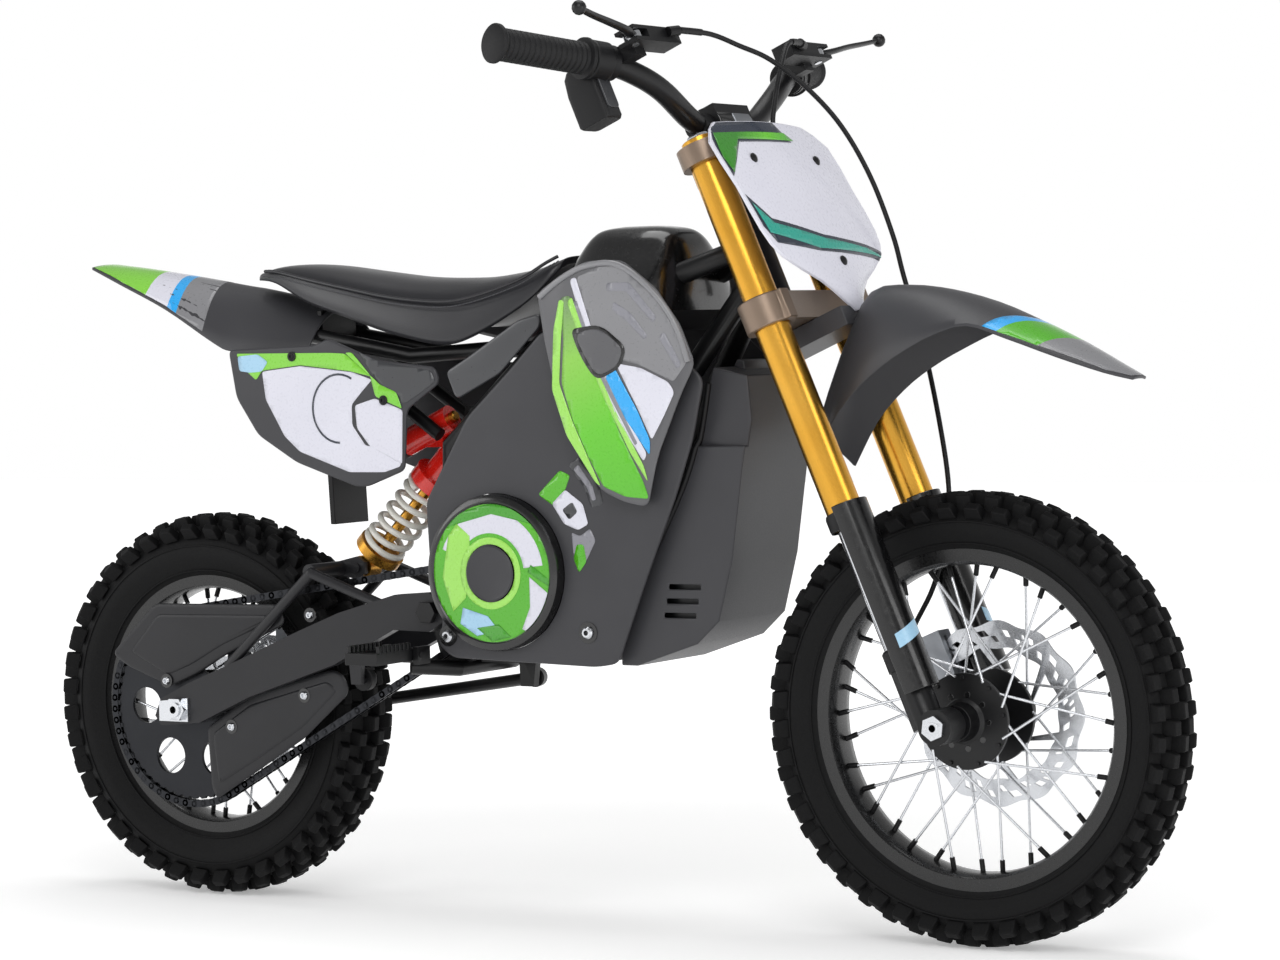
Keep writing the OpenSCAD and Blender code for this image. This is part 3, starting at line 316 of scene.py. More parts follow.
class Build:
    """A mesh put together in millimetres from tubes, turned shapes, plates and shells."""

    def __init__(self):
        self.mesh = bmesh.new()
        self.keys = []

    def add(self, points, faces, key, at=None):
        if key not in self.keys:
            self.keys.append(key)
        made = [self.mesh.verts.new((at @ Vector(p)) if at else Vector(p)) for p in points]
        for face in faces:
            corners = [made[k] for k in face]
            if len(set(corners)) > 2:
                self.mesh.faces.new(corners).material_index = self.keys.index(key)

    def lofted(self, rings, key, at=None, ends=True, loop=False):
        """A skin through rings of equally many points; loop joins the last ring to the first."""
        sides, count = len(rings[0]), len(rings)
        faces = [(i * sides + j, i * sides + (j + 1) % sides,
                  (i + 1) % count * sides + (j + 1) % sides, (i + 1) % count * sides + j)
                 for i in range(count if loop else count - 1) for j in range(sides)]
        if ends and not loop:
            faces += [tuple(range(sides))[::-1], tuple(range((count - 1) * sides, count * sides))]
        self.add([p for ring in rings for p in ring], faces, key, at)

    def tube(self, path, radius, key, at=None, sides=16, flat=1.0):
        """A round bar along a path; radius may be a function of the share of the way along."""
        path = [Vector(p) for p in path]
        normal, rings = None, []
        for k, p in enumerate(path):
            way = (path[min(k + 1, len(path) - 1)] - path[max(k - 1, 0)]).normalized()
            if normal is None:
                normal = way.orthogonal().normalized() if abs(way.z) > 0.95 else way.cross((0, 0, 1))
            normal = (normal - way * normal.dot(way)).normalized()
            other = way.cross(normal)
            r = radius(k / (len(path) - 1)) if callable(radius) else radius
            rings.append([p + (normal * math.cos(t) + other * math.sin(t) * flat) * r
                          for t in (2 * math.pi * s / sides for s in range(sides))])
        self.lofted(rings, key, at)

    def turned(self, profile, key, at=None, sides=64, closed=True):
        """A profile of (radius, height) turned about local Z."""
        rings = [[(r * math.cos(t), r * math.sin(t), h)
                  for t in (2 * math.pi * s / sides for s in range(sides))] for r, h in profile]
        self.lofted(rings, key, at, ends=False, loop=closed)

    def plate(self, outline, y0, y1, key, at=None):
        """A flat plate with an [x, z] outline between two places across the bike."""
        self.lofted([[(p[0], y, p[1]) for p in outline] for y in (y0, y1)], key, at)

    def shell(self, outer, inner, key, at=None):
        """A closed sheet between two grids of points."""
        rows, columns = len(outer), len(outer[0])
        rings = [list(outer[i]) + list(inner[i])[::-1] for i in range(rows)]
        self.lofted(rings, key, at, ends=False)
        for i, flip in ((0, False), (rows - 1, True)):
            points = list(outer[i]) + list(inner[i])
            faces = [(j, j + 1, columns + j + 1, columns + j) for j in range(columns - 1)]
            self.add(points, [f[::-1] for f in faces] if flip else faces, key, at)

    def moulded(self, outline, y, thick, key, side=-1, edge=5.0, crown=2.4, corner=8, bulge=None):
        """A moulded panel: rolled edges, a face that stands proud of them, and a wall behind."""
        line = [Vector((p[0], p[1])) for p in rounded([(a, b, 0) for a, b in outline], corner, 4, True)]
        area = sum(a.x * b.y - b.x * a.y for a, b in zip(line, line[1:] + line[:1]))
        spin = 1 if area > 0 else -1
        rings = []
        for inset, rise in ((0, -thick), (0, 0), (edge * 0.14, crown * 0.5), (edge * 0.45, crown * 0.86),
                            (edge, crown)):
            ring = []
            for k, p in enumerate(line):
                way = (line[(k + 1) % len(line)] - line[k - 1]).normalized()
                q = p + Vector((-way.y, way.x)) * spin * inset
                ring.append((q.x, side * (y + rise + (bulge(q.x, q.y) if bulge else 0)), q.y))
            rings.append(ring)
        self.lofted(rings, key, ends=False)
        for ring in (rings[0], rings[-1]):
            self.flat_face(ring, key, side, bulge, y + crown if ring is rings[-1] else y - thick)

    def flat_face(self, ring, key, side, bulge, y):
        """The face inside a ring, cut on a grid where it has to follow a bulge."""
        cut = outline_mesh([(p[0], p[2]) for p in ring], 14 if bulge else None)
        points = [(v.co.x, side * (y + (bulge(v.co.x, v.co.y) if bulge else 0)),
                   v.co.y) for v in cut.verts]
        self.add(points, [[v.index for v in f.verts] for f in cut.faces], key)
        cut.free()

    def copies(self, cell, count, key, centre=(0, 0, 0), path=None):
        """Copies of another build, round the axle or along a path, by Geometry Nodes."""
        tree, sockets = ON_PATH if path else ROUND_AXLE
        source = bpy.data.objects.new("cell", cell.as_mesh(recalculate=True))
        bpy.context.scene.collection.objects.link(source)
        base = bpy.data.meshes.new("spots")
        if path:
            base.from_pydata([Vector(p) * MM for p in path], [(k, k + 1) for k in range(len(path) - 1)],
                             [])
        holder = bpy.data.objects.new("spots", base)
        bpy.context.scene.collection.objects.link(holder)
        modifier = holder.modifiers.new("copies", "NODES")
        modifier.node_group = tree
        modifier[sockets["piece"]] = source
        modifier[sockets["count"]] = count
        modifier[sockets["material"]] = M[key]
        graph = bpy.context.evaluated_depsgraph_get()
        made = bpy.data.meshes.new_from_object(holder.evaluated_get(graph))
        scale = Matrix.Translation(Vector(centre)) @ Matrix.Scale(1000, 4)
        self.add([v.co for v in made.vertices], [list(p.vertices) for p in made.polygons], key, scale)
        for obj in (holder, source):
            bpy.data.objects.remove(obj)

    def as_mesh(self, recalculate):
        bmesh.ops.remove_doubles(self.mesh, verts=self.mesh.verts, dist=MERGE_MM)
        if recalculate:
            bmesh.ops.recalc_face_normals(self.mesh, faces=self.mesh.faces)
        mesh = bpy.data.meshes.new("mesh")
        self.mesh.to_mesh(mesh)
        mesh.transform(Matrix.Scale(MM, 4))
        for key in self.keys:
            mesh.materials.append(M[key])
        return mesh

    def piece(self, name, body, slot, replaces=(), angle=38, bevel=0, recalculate=True):
        """Makes the object, rides it on its body and hides the CAD parts that it replaces."""
        mesh = self.as_mesh(recalculate)
        mesh.polygons.foreach_set("use_smooth", [True] * len(mesh.polygons))
        mesh.set_sharp_from_angle(angle=math.radians(angle))
        obj = bpy.data.objects.new(name, mesh)
        bpy.context.scene.collection.objects.link(obj)
        if bevel:
            edge = obj.modifiers.new("edges", "BEVEL")
            edge.width, edge.segments, edge.angle_limit = bevel * MM, 2, math.radians(angle)
            edge.limit_method = "ANGLE"
        if body:
            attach(obj, body)
        if replaces:
            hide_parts(*replaces)
        return obj


def outline_mesh(outline, step=None):
    """A filled flat outline, cut into a grid of that step."""
    cut = bmesh.new()
    verts = [cut.verts.new((a, b, 0)) for a, b in outline]
    for tri in tessellate_polygon([[Vector((a, b, 0)) for a, b in outline]]):
        cut.faces.new([verts[k] for k in tri])
    bmesh.ops.recalc_face_normals(cut, faces=cut.faces)
    if step:
        for axis in (0, 1):
            values = [p[axis] for p in outline]
            place = math.ceil(min(values) / step) * step
            while place < max(values):
                point, normal = [0, 0, 0], [0, 0, 0]
                point[axis], normal[axis] = place, 1
                bmesh.ops.bisect_plane(cut, geom=cut.verts[:] + cut.edges[:] + cut.faces[:],
                                       plane_co=point, plane_no=normal)
                place += step
    cut.verts.index_update()
    return cut


def film(build, outline, key, onto, lift=0.3, step=8, corner=0):
    """A printed film: an outline laid on a surface, which onto(a, b) gives with its way out."""
    if corner:
        outline = [(p.x, p.y) for p in rounded([(a, b, 0) for a, b in outline], corner, 4, True)]
    cut = outline_mesh(outline, step)
    points = []
    for v in cut.verts:
        place, out = onto(v.co.x, v.co.y)
        points.append(Vector(place) + Vector(out) * lift)
    faces = [[v.index for v in f.verts] for f in cut.faces]
    if faces:
        _, out = onto(*outline[0])
        a, b, c = (points[k] for k in faces[0][:3])
        if (b - a).cross(c - a).dot(Vector(out)) < 0:
            faces = [f[::-1] for f in faces]
    build.add(points, faces, key)
    cut.free()


def film_piece(build, name, body, slot):
    """The films of one body, a fifth of a millimetre thick."""
    obj = build.piece(name, body, slot, recalculate=False)
    solid = obj.modifiers.new("thickness", "SOLIDIFY")
    solid.thickness, solid.offset = FILM_MM * MM, -1


def refined(node, body, key, bevel):
    """A CAD node's own shape, merged, with small rounded edges and its finish."""
    copy = bmesh.new()
    copy.from_mesh(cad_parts[node].data)
    bmesh.ops.remove_doubles(copy, verts=copy.verts, dist=MERGE_M)
    bmesh.ops.dissolve_limit(copy, angle_limit=CAD_FLAT, verts=copy.verts, edges=copy.edges)
    mesh = bpy.data.meshes.new(node + "_finished")
    copy.to_mesh(mesh)
    copy.free()
    mesh.materials.append(M[key])
    mesh.polygons.foreach_set("use_smooth", [True] * len(mesh.polygons))
    mesh.set_sharp_from_angle(angle=CAD_SHARP)
    obj = bpy.data.objects.new(node + "_finished", mesh)
    bpy.context.scene.collection.objects.link(obj)
    edge = obj.modifiers.new("edges", "BEVEL")
    edge.width, edge.segments, edge.limit_method = bevel * MM, 2, "ANGLE"
    edge.angle_limit = CAD_SHARP
    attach(obj, body)
    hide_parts(node)


# ---- wheels ----
def turned_across(centre):
    """Local Z along the axle, towards the rider's left."""
    return Matrix.Translation(centre) @ Matrix.Rotation(math.radians(-90), 4, "X")


def tread_block(length, width, height, radius, across, tilt, lead=0.0):
    """One tapered rubber block, standing on the carcass at the given place across the tyre."""
    block = Build()
    rings = []
    for h, grow in ((-5, 1.14), (height * 0.82, 0.94), (height, 0.8)):
        rings.append([(x * length / 2 * grow, y * width / 2 * grow, h)
                      for x, y in ((-1, -1), (1, -1), (1, 1), (-1, 1))])
    place = (Matrix.Rotation(lead, 4, "Y") @ Matrix.Translation((0, across, radius))
             @ Matrix.Rotation(tilt, 4, "X"))
    block.lofted(rings, "tyre", at=place)
    return block


def tyre(name, body, centre, outer, half, bead, flange, node, count):
    """A motocross tyre: a round carcass, staggered middle blocks and two shoulder rows a side."""
    build = Build()
    skin = outer - 12.5
    arc = [(skin + 1 - (1 - math.cos(t)) * (skin - flange) * 0.55, half * math.sin(t) * 0.97)
           for t in (math.radians(a) for a in range(-80, 81, 10))]
    middle = (skin + flange) / 2
    outside = ([(flange + 1, -(bead + 3.2)), (middle - 8, -half + 3)] + arc
               + [(middle - 8, half - 3), (flange + 1, bead + 3.2)])
    inside = [(flange - 5, bead + 2), (flange - 8, 0), (flange - 5, -(bead + 2))]
    build.turned(outside + inside, "tyre", at=turned_across(centre), sides=96)
    for ring_radius in (flange + 4, flange + 9, middle + 4):
        for side in (-1, 1):
            height = side * (half - 1.5 if ring_radius > middle else bead + 7)
            build.turned([(ring_radius, height), (ring_radius + 1.4, height + side * 1.2),
                          (ring_radius + 2.8, height)], "tyre", at=turned_across(centre), sides=96)
    step = 2 * math.pi / count
    rows = [(17, 11, 12, skin, 5.8, 0.06, 0), (17, 11, 12, skin, -5.8, -0.06, 0.5),
            (15, 9.5, 12, skin - 1.5, half * 0.56, -0.3, 0.5),
            (15, 9.5, 12, skin - 1.5, -half * 0.56, 0.3, 0),
            (16, 9, 9.5, skin - 7, half * 0.9, -0.78, 0), (16, 9, 9.5, skin - 7, -half * 0.9, 0.78, 0.5)]
    for length, width, height, radius, across, tilt, lead in rows:
        block = tread_block(length, width, height, radius, across, tilt, lead * step)
        build.copies(block, count, "tyre", centre)
    build.piece(name, body, "tyre", [node], angle=30, bevel=0.7)


def wheel(prefix, body, centre, rim, hub, pairs, nodes):
    """Rim, spokes, nipples and hub of one wheel; rim and hub hold their radii."""
    across = turned_across(centre)
    build = Build()
    half = [(rim["bead"] - 1, 10.5), (rim["bead"] - 1, rim["half"] + 0.8),
            (rim["flange"] - 0.6, rim["half"] + 0.8),
            (rim["flange"], rim["half"] + 1.6), (rim["flange"], rim["half"] + 3.4),
            (rim["open"] + 4, rim["half"] + 3.8),
            (rim["open"] + 1.5, rim["half"] + 0.5), (rim["open"], 8)]
    build.turned(half + [(r, -h) for r, h in reversed(half)], "rim", at=across, sides=128)
    build.piece(prefix + "_rim_channel", body, "black_metal", [nodes["rim"]], angle=30)

    wires = Build()
    lace = math.radians(rim["lace"])
    for side in (-1, 1):
        for lean in (-lace, lace):
            cell, nipple = Build(), Build()
            start = math.pi / pairs * ((0.5 if side > 0 else 0) + (1 if lean > 0 else 0)) - lean
            a = Vector((hub["flange"] - 3, side * (hub["y"] + 3 * (1 if lean > 0 else -0.2)), 0))
            b = Vector((rim["open"] + 1, side * 5, 0))
            a = Vector((a.x * math.cos(start), a.y, a.x * math.sin(start)))
            b = Vector((b.x * math.cos(start + lean), b.y, b.x * math.sin(start + lean)))
            cell.tube([a, b], 1.35, "spoke", sides=8)
            nipple.tube([b + (a - b) * 0.105, b + (a - b) * 0.005], 2.6, "dull_black", sides=8)
            wires.copies(cell, pairs, "spoke", centre)
            wires.copies(nipple, pairs, "dull_black", centre)
    wires.piece(prefix + "_spokes", body, "bright", angle=50)

    shell = Build()
    core, y, out = hub["core"], hub["y"], hub["flange"]
    shell.turned([(hub["bore"], -hub["half"]), (core, -hub["half"]), (core + 1.5, -y - 6),
                  (core + 5, -y - 3),
                  (out, -y - 2.4), (out, -y + 2.4), (core + 3, -y + 3.5), (core, -y + 9), (core, y - 9),
                  (core + 3, y - 3.5), (out, y - 2.4), (out, y + 2.4), (core + 5, y + 3),
                  (core + 1.5, y + 6), (core, hub["half"]), (hub["bore"], hub["half"])],
                 "powder", at=across, sides=64)
    for side in (-1, 1):
        pocket, bolt = Build(), Build()
        pocket.tube([(core + 9, side * (y + 2.0), 0), (core + 9, side * (y + 3.3), 0)], 3.2,
                    "gloss_black", sides=12)
        bolt.tube([(0, side * (y + 2), out - 4), (0, side * (y + 4.6), out - 4)], 2.1, "steel", sides=8)
        shell.copies(pocket, 9, "gloss_black", centre)
        shell.copies(bolt, pairs, "powder", centre)
    shell.piece(prefix + "_hub_shell", body, "black_metal", [nodes["hub"]], angle=35, bevel=0.4)


def rotor(name, body, centre, y, radius, node, swirl):
    """A petal brake disc: a wavy rim with slots, on swept arms from an inner ring."""
    build = Build()
    columns, bands = 144, [30, 36, radius - 24, radius - 19, radius - 13, radius - 7, radius]
    grid = {}
    for i, r in enumerate(bands):
        for k in range(columns):
            t = 2 * math.pi * k / columns
            wave = {radius: 2.2, radius - 24: 1.4}.get(r, 0) * math.cos(12 * t)
            turn = t + swirl * (1 - (r - 30) / (radius - 30)) ** 1.3
            grid[i, k] = ((r + wave) * math.cos(turn), (r + wave) * math.sin(turn))
    keep = set()
    for k in range(columns):
        for i in range(len(bands) - 1):
            arm = k % 24 in (0, 1, 2)
            slot = i in (3, 4) and (k + i * 3) % 8 in (0, 1) or i == 4 and k % 12 == 6
            if (i == 1 and not arm) or (i > 1 and slot):
                continue
            keep.add((i, k))
    points, faces, seen = [], [], {}
    for level, height in enumerate((-1.5, 1.5)):
        for key, p in grid.items():
            seen[key, level] = len(points)
            points.append((p[0], p[1], height))
    for i, k in sorted(keep):
        n = (k + 1) % columns
        for level in (0, 1):
            faces.append([seen[c, level] for c in ((i, k), (i + 1, k), (i + 1, n), (i, n))])
        edges = [(((i, k), (i + 1, k)), (i, k - 1 if k else columns - 1)),
                 (((i + 1, n), (i, n)), (i, n)), (((i + 1, k), (i + 1, n)), (i + 1, k)),
                 (((i, n), (i, k)), (i - 1, k))]
        for (a, b), other in edges:
            if other not in keep:
                faces.append([seen[a, 0], seen[b, 0], seen[b, 1], seen[a, 1]])
    at = Matrix.Translation(centre + Vector((0, y, 0))) @ Matrix.Rotation(math.radians(-90), 4, "X")
    build.add(points, faces, "disc", at)
    build.piece(name, body, "bright", [node], angle=40)


tyre("front_tyre_knobbed", "front_wheel", FRONT, 217.5, 31, 17, 163, "front_tyre", 44)
tyre("rear_tyre_knobbed", "rear_wheel", REAR, 204, 36, 19, 138, "rear_tyre", 40)
wheel("front", "front_wheel", FRONT, {"open": 147, "bead": 153, "half": 17, "flange": 163, "lace": 40},
      {"core": 17, "half": 50, "flange": 46, "y": 28, "bore": 6.1}, 9,
      {"rim": "front_rim", "hub": "front_hub"})
wheel("rear", "rear_wheel", REAR, {"open": 123, "bead": 128, "half": 19, "flange": 138, "lace": 45},
      {"core": 17, "half": 52.5, "flange": 37, "y": 24, "bore": 8.1}, 8,
      {"rim": "rear_rim", "hub": "rear_hub"})
rotor("front_brake_rotor", "front_wheel", FRONT, 45.5, 88, "front_disc", 0.75)
rotor("rear_brake_rotor", "rear_wheel", REAR, 49.1, 74, "rear_disc", 0.75)

# ---- frame, motor and battery, in their CAD shapes ----
for node, body, slot, key, bevel in [
        ("main_frame", "frame", "frame_paint", "powder", 0.6),
        ("subframe", "frame", "frame_paint", "powder", 0.6),
        ("head_bearings", "frame", "bright", "steel", 0.4),
        ("battery_pack", "frame", "cell", "cell", 2.5),
        ("controller", "frame", "cast", "cast", 1.5),
        ("motor", "frame", "black_metal", "powder", 1.2),
        ("frame_bolts", "frame", "bright", "powder", 0.5),
        ("battery_box", "frame", "box", "box", 5.0),
        ("upper_clamp", "steering", "clamp", "taupe", 1.6),
        ("lower_clamp", "steering", "clamp", "taupe", 1.6),
        ("bar_clamp", "steering", "cast", "dull_black", 3.5),
        ("bar_controls", "steering", "black_plastic", "dull_black", 1.2),
        ("kill_button", "kill_switch", "red", "red", 0.8),
        ("fork_sliders", "fork_lower", "black_metal", "powder", 1.2),
        ("fork_guards", "fork_lower", "black_plastic", "gloss_black", 0.8),
        ("front_axle", "fork_lower", "bright", "steel", 0.6),
        ("front_caliper", "fork_lower", "cast", "cast", 1.5),
        ("front_brake_arm", "front_caliper_arm", "cast", "cast", 0.6),
        ("swingarm", "swing", "swing", "arm", 2.2),
        ("rear_axle", "swing", "bright", "steel", 0.8),
        ("rear_caliper", "swing", "cast", "cast", 1.5),
        ("rear_brake_arm", "rear_caliper_arm", "cast", "cast", 0.6),
        ("rear_sprocket", "rear_wheel", "chain_steel", "sprocket", 0.3),
        ("motor_sprocket", "motor_shaft", "chain_steel", "sprocket", 0.3),
        ("chain_roller", "roller", "rubber", "dull_black", 0.8),
        ("shock_body", "shock_upper", "shock_red", "red", 2.5),
        ("shock_shaft", "shock_lower", "shock_gold", "gold_small", 1.0),
        ("peg_right", "right_peg", "black_metal", "powder", 0.7),
        ("peg_left", "left_peg", "black_metal", "powder", 0.7),
        ("kickstand", "side_stand", "black_metal", "powder", 0.8)]:
    refined(node, body, key, bevel)


# ---- fork ----
def fork_tubes():
    build = Build()
    for side in (-1, 1):
        at = FORK_TO_BIKE @ Matrix.Translation((LEG_X, side * LEG_Y, 0))
        build.turned([(13.9, -227), (17.2, -227), (17.5, -226), (17.5, 175.4), (16.8, 176), (0.01, 176),
                      (0.01, 160),
                      (13.9, 160)], "gold", at=at, sides=72)
        build.turned([(17.9, -228.5), (19.6, -228.5), (20.2, -226), (20.2, -214), (19, -211),
                      (17.6, -210.5)],
                     "dull_black", at=at, sides=48)
        build.turned([(0.01, 176), (12, 176), (12, 179), (10, 180.5), (0.01, 180.5)], "steel", at=at,
                     sides=6)
    build.piece("fork_outer_tubes", "steering", "gold", ["fork_tubes"])
    chrome = Build()
    for side in (-1, 1):
        at = FORK_TO_BIKE @ Matrix.Translation((LEG_X, side * LEG_Y, 0))
        chrome.turned([(13.55, -366), (13.8, -366), (13.8, -226), (13.55, -226)], "bright", at=at,
                      sides=48)
        chrome.turned([(15.5, -372), (17.4, -371), (17.4, -352), (15.5, -350), (13.9, -350),
                       (13.9, -372)],
                      "dull_black", at=at, sides=48)
    chrome.piece("fork_inner_sleeves", "fork_lower", "bright")
    clip = Build()
    for side in (-1, 1):
        at = FORK_TO_BIKE @ Matrix.Translation((LEG_X, side * LEG_Y, -338))
        turns = [math.radians(a) for a in range(-60, 13, 12)]
        rings = []
        for h in (-8, 6):
            rings.append([(r * math.cos(t), -side * r * math.sin(t), h + 9 * math.sin(t))
                          for r, way in ((24.5, turns), (24.1, turns[::-1])) for t in way])
        clip.lofted(rings, "pale_blue", at)
    clip.piece("fork_guard_bands", "fork_lower", "black_plastic")


fork_tubes()


# ---- handlebar and its controls ----
def grip_place(side):
    sweep, tip = Vector((BAR[3][0], side * BAR[3][1], BAR[3][2])), Vector((BAR[4][0], side * BAR[4][1],
                                                                           BAR[4][2]))
    way = (tip - sweep).normalized()
    return FORK_TO_BIKE @ Matrix.Translation(sweep) @ along(way)


def bar_parts():
    bar = Build()
    route = [(p[0], -p[1], p[2]) for p in reversed(BAR[1:])] + BAR[1:]
    bar.tube(rounded(route, 26, 8), 11, "powder", at=FORK_TO_BIKE, sides=32)
    bar.tube([(23, -52, 196), (23, 52, 196)], 12.6, "dull_black", at=FORK_TO_BIKE, sides=24)
    bar.piece("bent_bar", "steering", "black_metal", ["handlebar"])
    for side, body, node in ((1, "steering", "grip_left"), (-1, "throttle", "throttle_grip")):
        profile = [(11.1, 36), (20, 36), (20.4, 37), (20, 40), (15.6, 41)]
        for k in range(15):
            base = 44 + k * 6.2
            profile += [(14.6, base), (15.6, base + 0.9), (15.6, base + 4.2), (14.6, base + 5.1)]
        profile += [(17.8, 140), (18.8, 141.5), (18.8, 144), (17, 145.6), (0.01, 146), (0.01, 142.5),
                    (11.1, 142.5)]
        grip = Build()
        grip.turned(profile, "grip", at=grip_place(side), sides=48)
        grip.piece(("left" if side > 0 else "twist") + "_grip_ribbed", body, "rubber", [node], angle=50)
    for side, body, node in ((1, "rear_brake_lever", "brake_lever_left"),
                             (-1, "front_brake_lever", "brake_lever_right")):
        lever = Build()
        path = [(61, 176, 266.2), (66, 190, 266.6), (71, 206, 268), (73, 232, 272.4), (76, 262, 276),
                (80, 288, 279)]
        path = [(p[0], side * p[1], p[2]) for p in path]
        lever.tube(flow(path, 5), lambda u: 5.4 - 1.8 * u, "powder", at=FORK_TO_BIKE, sides=20, flat=0.62)
        lever.turned([(0.01, -7), (3, -6.3), (5.4, -4.5), (6.8, -1.5), (6.8, 1.5), (5.4, 4.5), (3, 6.3),
                      (0.01, 7)],
                     "powder", at=FORK_TO_BIKE @ Matrix.Translation((81, side * 292, 279.5)), sides=24,
                     closed=False)
        pivot = FORK_TO_BIKE @ Matrix.Translation((61, side * 178, 266.2))
        lever.turned([(0.01, -3.7), (8.4, -3.7), (8.9, -3.2), (8.9, 3.2), (8.4, 3.7), (0.01, 3.7)],
                     "bright",
                     at=pivot, sides=32, closed=False)
        lever.turned([(0.01, -9), (4, -9), (4, 9.5), (3.4, 10.2), (0.01, 10.2)], "steel", at=pivot,
                     sides=16,
                     closed=False)
        lever.piece(("left" if side > 0 else "right") + "_lever_blade", body, "bright", [node])


def bar_housings():
    """The twist grip's collar with its switch box, and the silver cap of the bar clamp."""
    build = Build()
    build.turned([(11.1, 12), (17.5, 12), (19, 13.5), (19, 32.5), (17.5, 34), (11.1, 34)], "dull_black",
                 at=grip_place(-1), sides=48)
    rings = []
    for z, grow, shift in ((205, 0.86, 0), (208, 1, 0), (240, 1, 0), (256, 0.92, 1), (262, 0.7, 2)):
        box = rounded([(-19 * grow + shift, -197, z), (17 * grow + shift, -197, z),
                       (17 * grow + shift, -168, z),
                       (-19 * grow + shift, -168, z)], 6, 4, True)
        rings.append(box)
    build.lofted(rings, "dull_black", FORK_TO_BIKE)
    build.piece("throttle_switch_housing", "steering", "black_plastic", ["throttle_housing"], angle=40,
                bevel=0.6)
    face = Build()
    face.lofted([[(x, y, z) for x, y, z in rounded([(16.4 + b, -192, 214), (16.4 + b, -173, 214),
                 (16.4 + b, -173, 250), (16.4 + b, -192, 250)], 5, 4, True)] for b in (0, 2.4)],
                "shroud_dark", FORK_TO_BIKE)
    face.piece("throttle_housing_face", "steering", "black_plastic", angle=40, bevel=0.5)
    cap = Build()
    for y0, y1, key in ((-4, 30, "cast"), (-33, -6, "gloss_black")):
        cap.lofted([[(23 + 19 * math.cos(t), y, 196 + 19 * math.sin(t)) for t in
                     (math.radians(a) for a in range(-30, 211, 12))] for y in (y0, y1)], key,
                     FORK_TO_BIKE)
    cap.piece("bar_clamp_caps", "steering", "cast", angle=35, bevel=1.2)


def tank_cover():
    """The glossy cover in front of the seat: a low dome on a wide skirt."""
    build = Build()
    levels = [(612, 30, 158, 91), (632, 26, 158, 84), (650, 25, 156, 72), (672, 33, 149, 55),
              (686, 42, 141, 44),
              (693, 52, 131, 33), (696, 70, 114, 18)]
    rings = []
    for z, x0, x1, half in flow(levels, 4):
        middle, reach = (x0 + x1) / 2, (x1 - x0) / 2
        rings.append([(middle + reach * math.copysign(abs(math.cos(t)) ** 0.55, math.cos(t)),
                       half * math.copysign(abs(math.sin(t)) ** 0.55, math.sin(t)), z)
                      for t in (2 * math.pi * k / 64 for k in range(64))])
    build.lofted(rings, "gloss_black")
    build.piece("tank_cover_moulding", "frame", "tank", ["tank_cover"], angle=50)


bar_parts()
bar_housings()
tank_cover()

FRONT_CABLE = [
    (79, -118, 268), (84, -70, 264), (88, -30, 252), (94, 10, 236), (98, 55, 205),
    (98, 95, 165), (94, 122, 112), (92, 124, 50), (92, 112, 5), (93, 96, -60),
    (84, 84, -140), (72, 70, -212), (56, 50, -262), (28, 45, -298), (-14, 56, -325),
    (-43, 65.5, -352)]
REAR_CABLE = [
    (79, 118, 268), (84, 80, 262), (80, 52, 235), (68, 38, 205), (59, 30, 178),
    (59, 30, 146), (40, 40, 118), (0, 42, 90), (-30, 42, 66), (-44, 38, 48)]


def cables():
    """Brake cables in black PVC sleeves, with a black ferrule at each end."""
    for name, route, node, pair, start, end in (
            ("front_brake_sleeve", FRONT_CABLE, "front_brake_cable", ("steering", "fork_lower"), -60,
             -300),
            ("rear_brake_sleeve", REAR_CABLE, "rear_brake_cable", ("steering", "frame"), 120, 50)):
        build = Build()
        path = flow(route, 7)
        build.tube(path, 2.5, "dull_black", at=FORK_TO_BIKE, sides=12)
        for tip in (path[:6], path[-6:]):
            build.tube(tip, 3.3, "steel" if tip is path[:6] else "dull_black", at=FORK_TO_BIKE, sides=12)
        obj = build.piece(name, None, "black_plastic", [node])
        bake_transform(obj)


cables()


# ---- number plate and fenders ----
def across_rows(rows, place, steps=3, columns=12):
    """A grid of points: rows run along the sheet and place(row, share) gives a point across it."""
    return [[Vector(place(row, f / columns * 2 - 1)) for f in range(columns + 1)] for row in flow(rows,
                                                                                                  steps)]


def sheet_of(build, grid, key, thick, inward, at=None):
    build.shell(grid, [[p + Vector(inward) * thick for p in row] for row in grid], key, at)


def on_grid(grid, along, across, way):
    """A way to lay films on a grid: onto(a, b) with a along the sheet and b across it."""
    rows = [(row[len(row) // 2][along], row) for row in grid]
    rows.sort(key=lambda r: r[0])

    def at_row(row, b):
        row = row if row[0][across] < row[-1][across] else row[::-1]
        b = max(row[0][across], min(row[-1][across], b))
        for p, q in zip(row, row[1:]):
            if b <= q[across] or q is row[-1]:
                return p.lerp(q, (b - p[across]) / max(q[across] - p[across], 1e-6))

    def onto(a, b):
        a = max(rows[0][0], min(rows[-1][0], a))
        for (low, one), (high, two) in zip(rows, rows[1:]):
            if a <= high or two is rows[-1][1]:
                return at_row(one, b).lerp(at_row(two, b), (a - low) / max(high - low, 1e-6)), way
    return onto


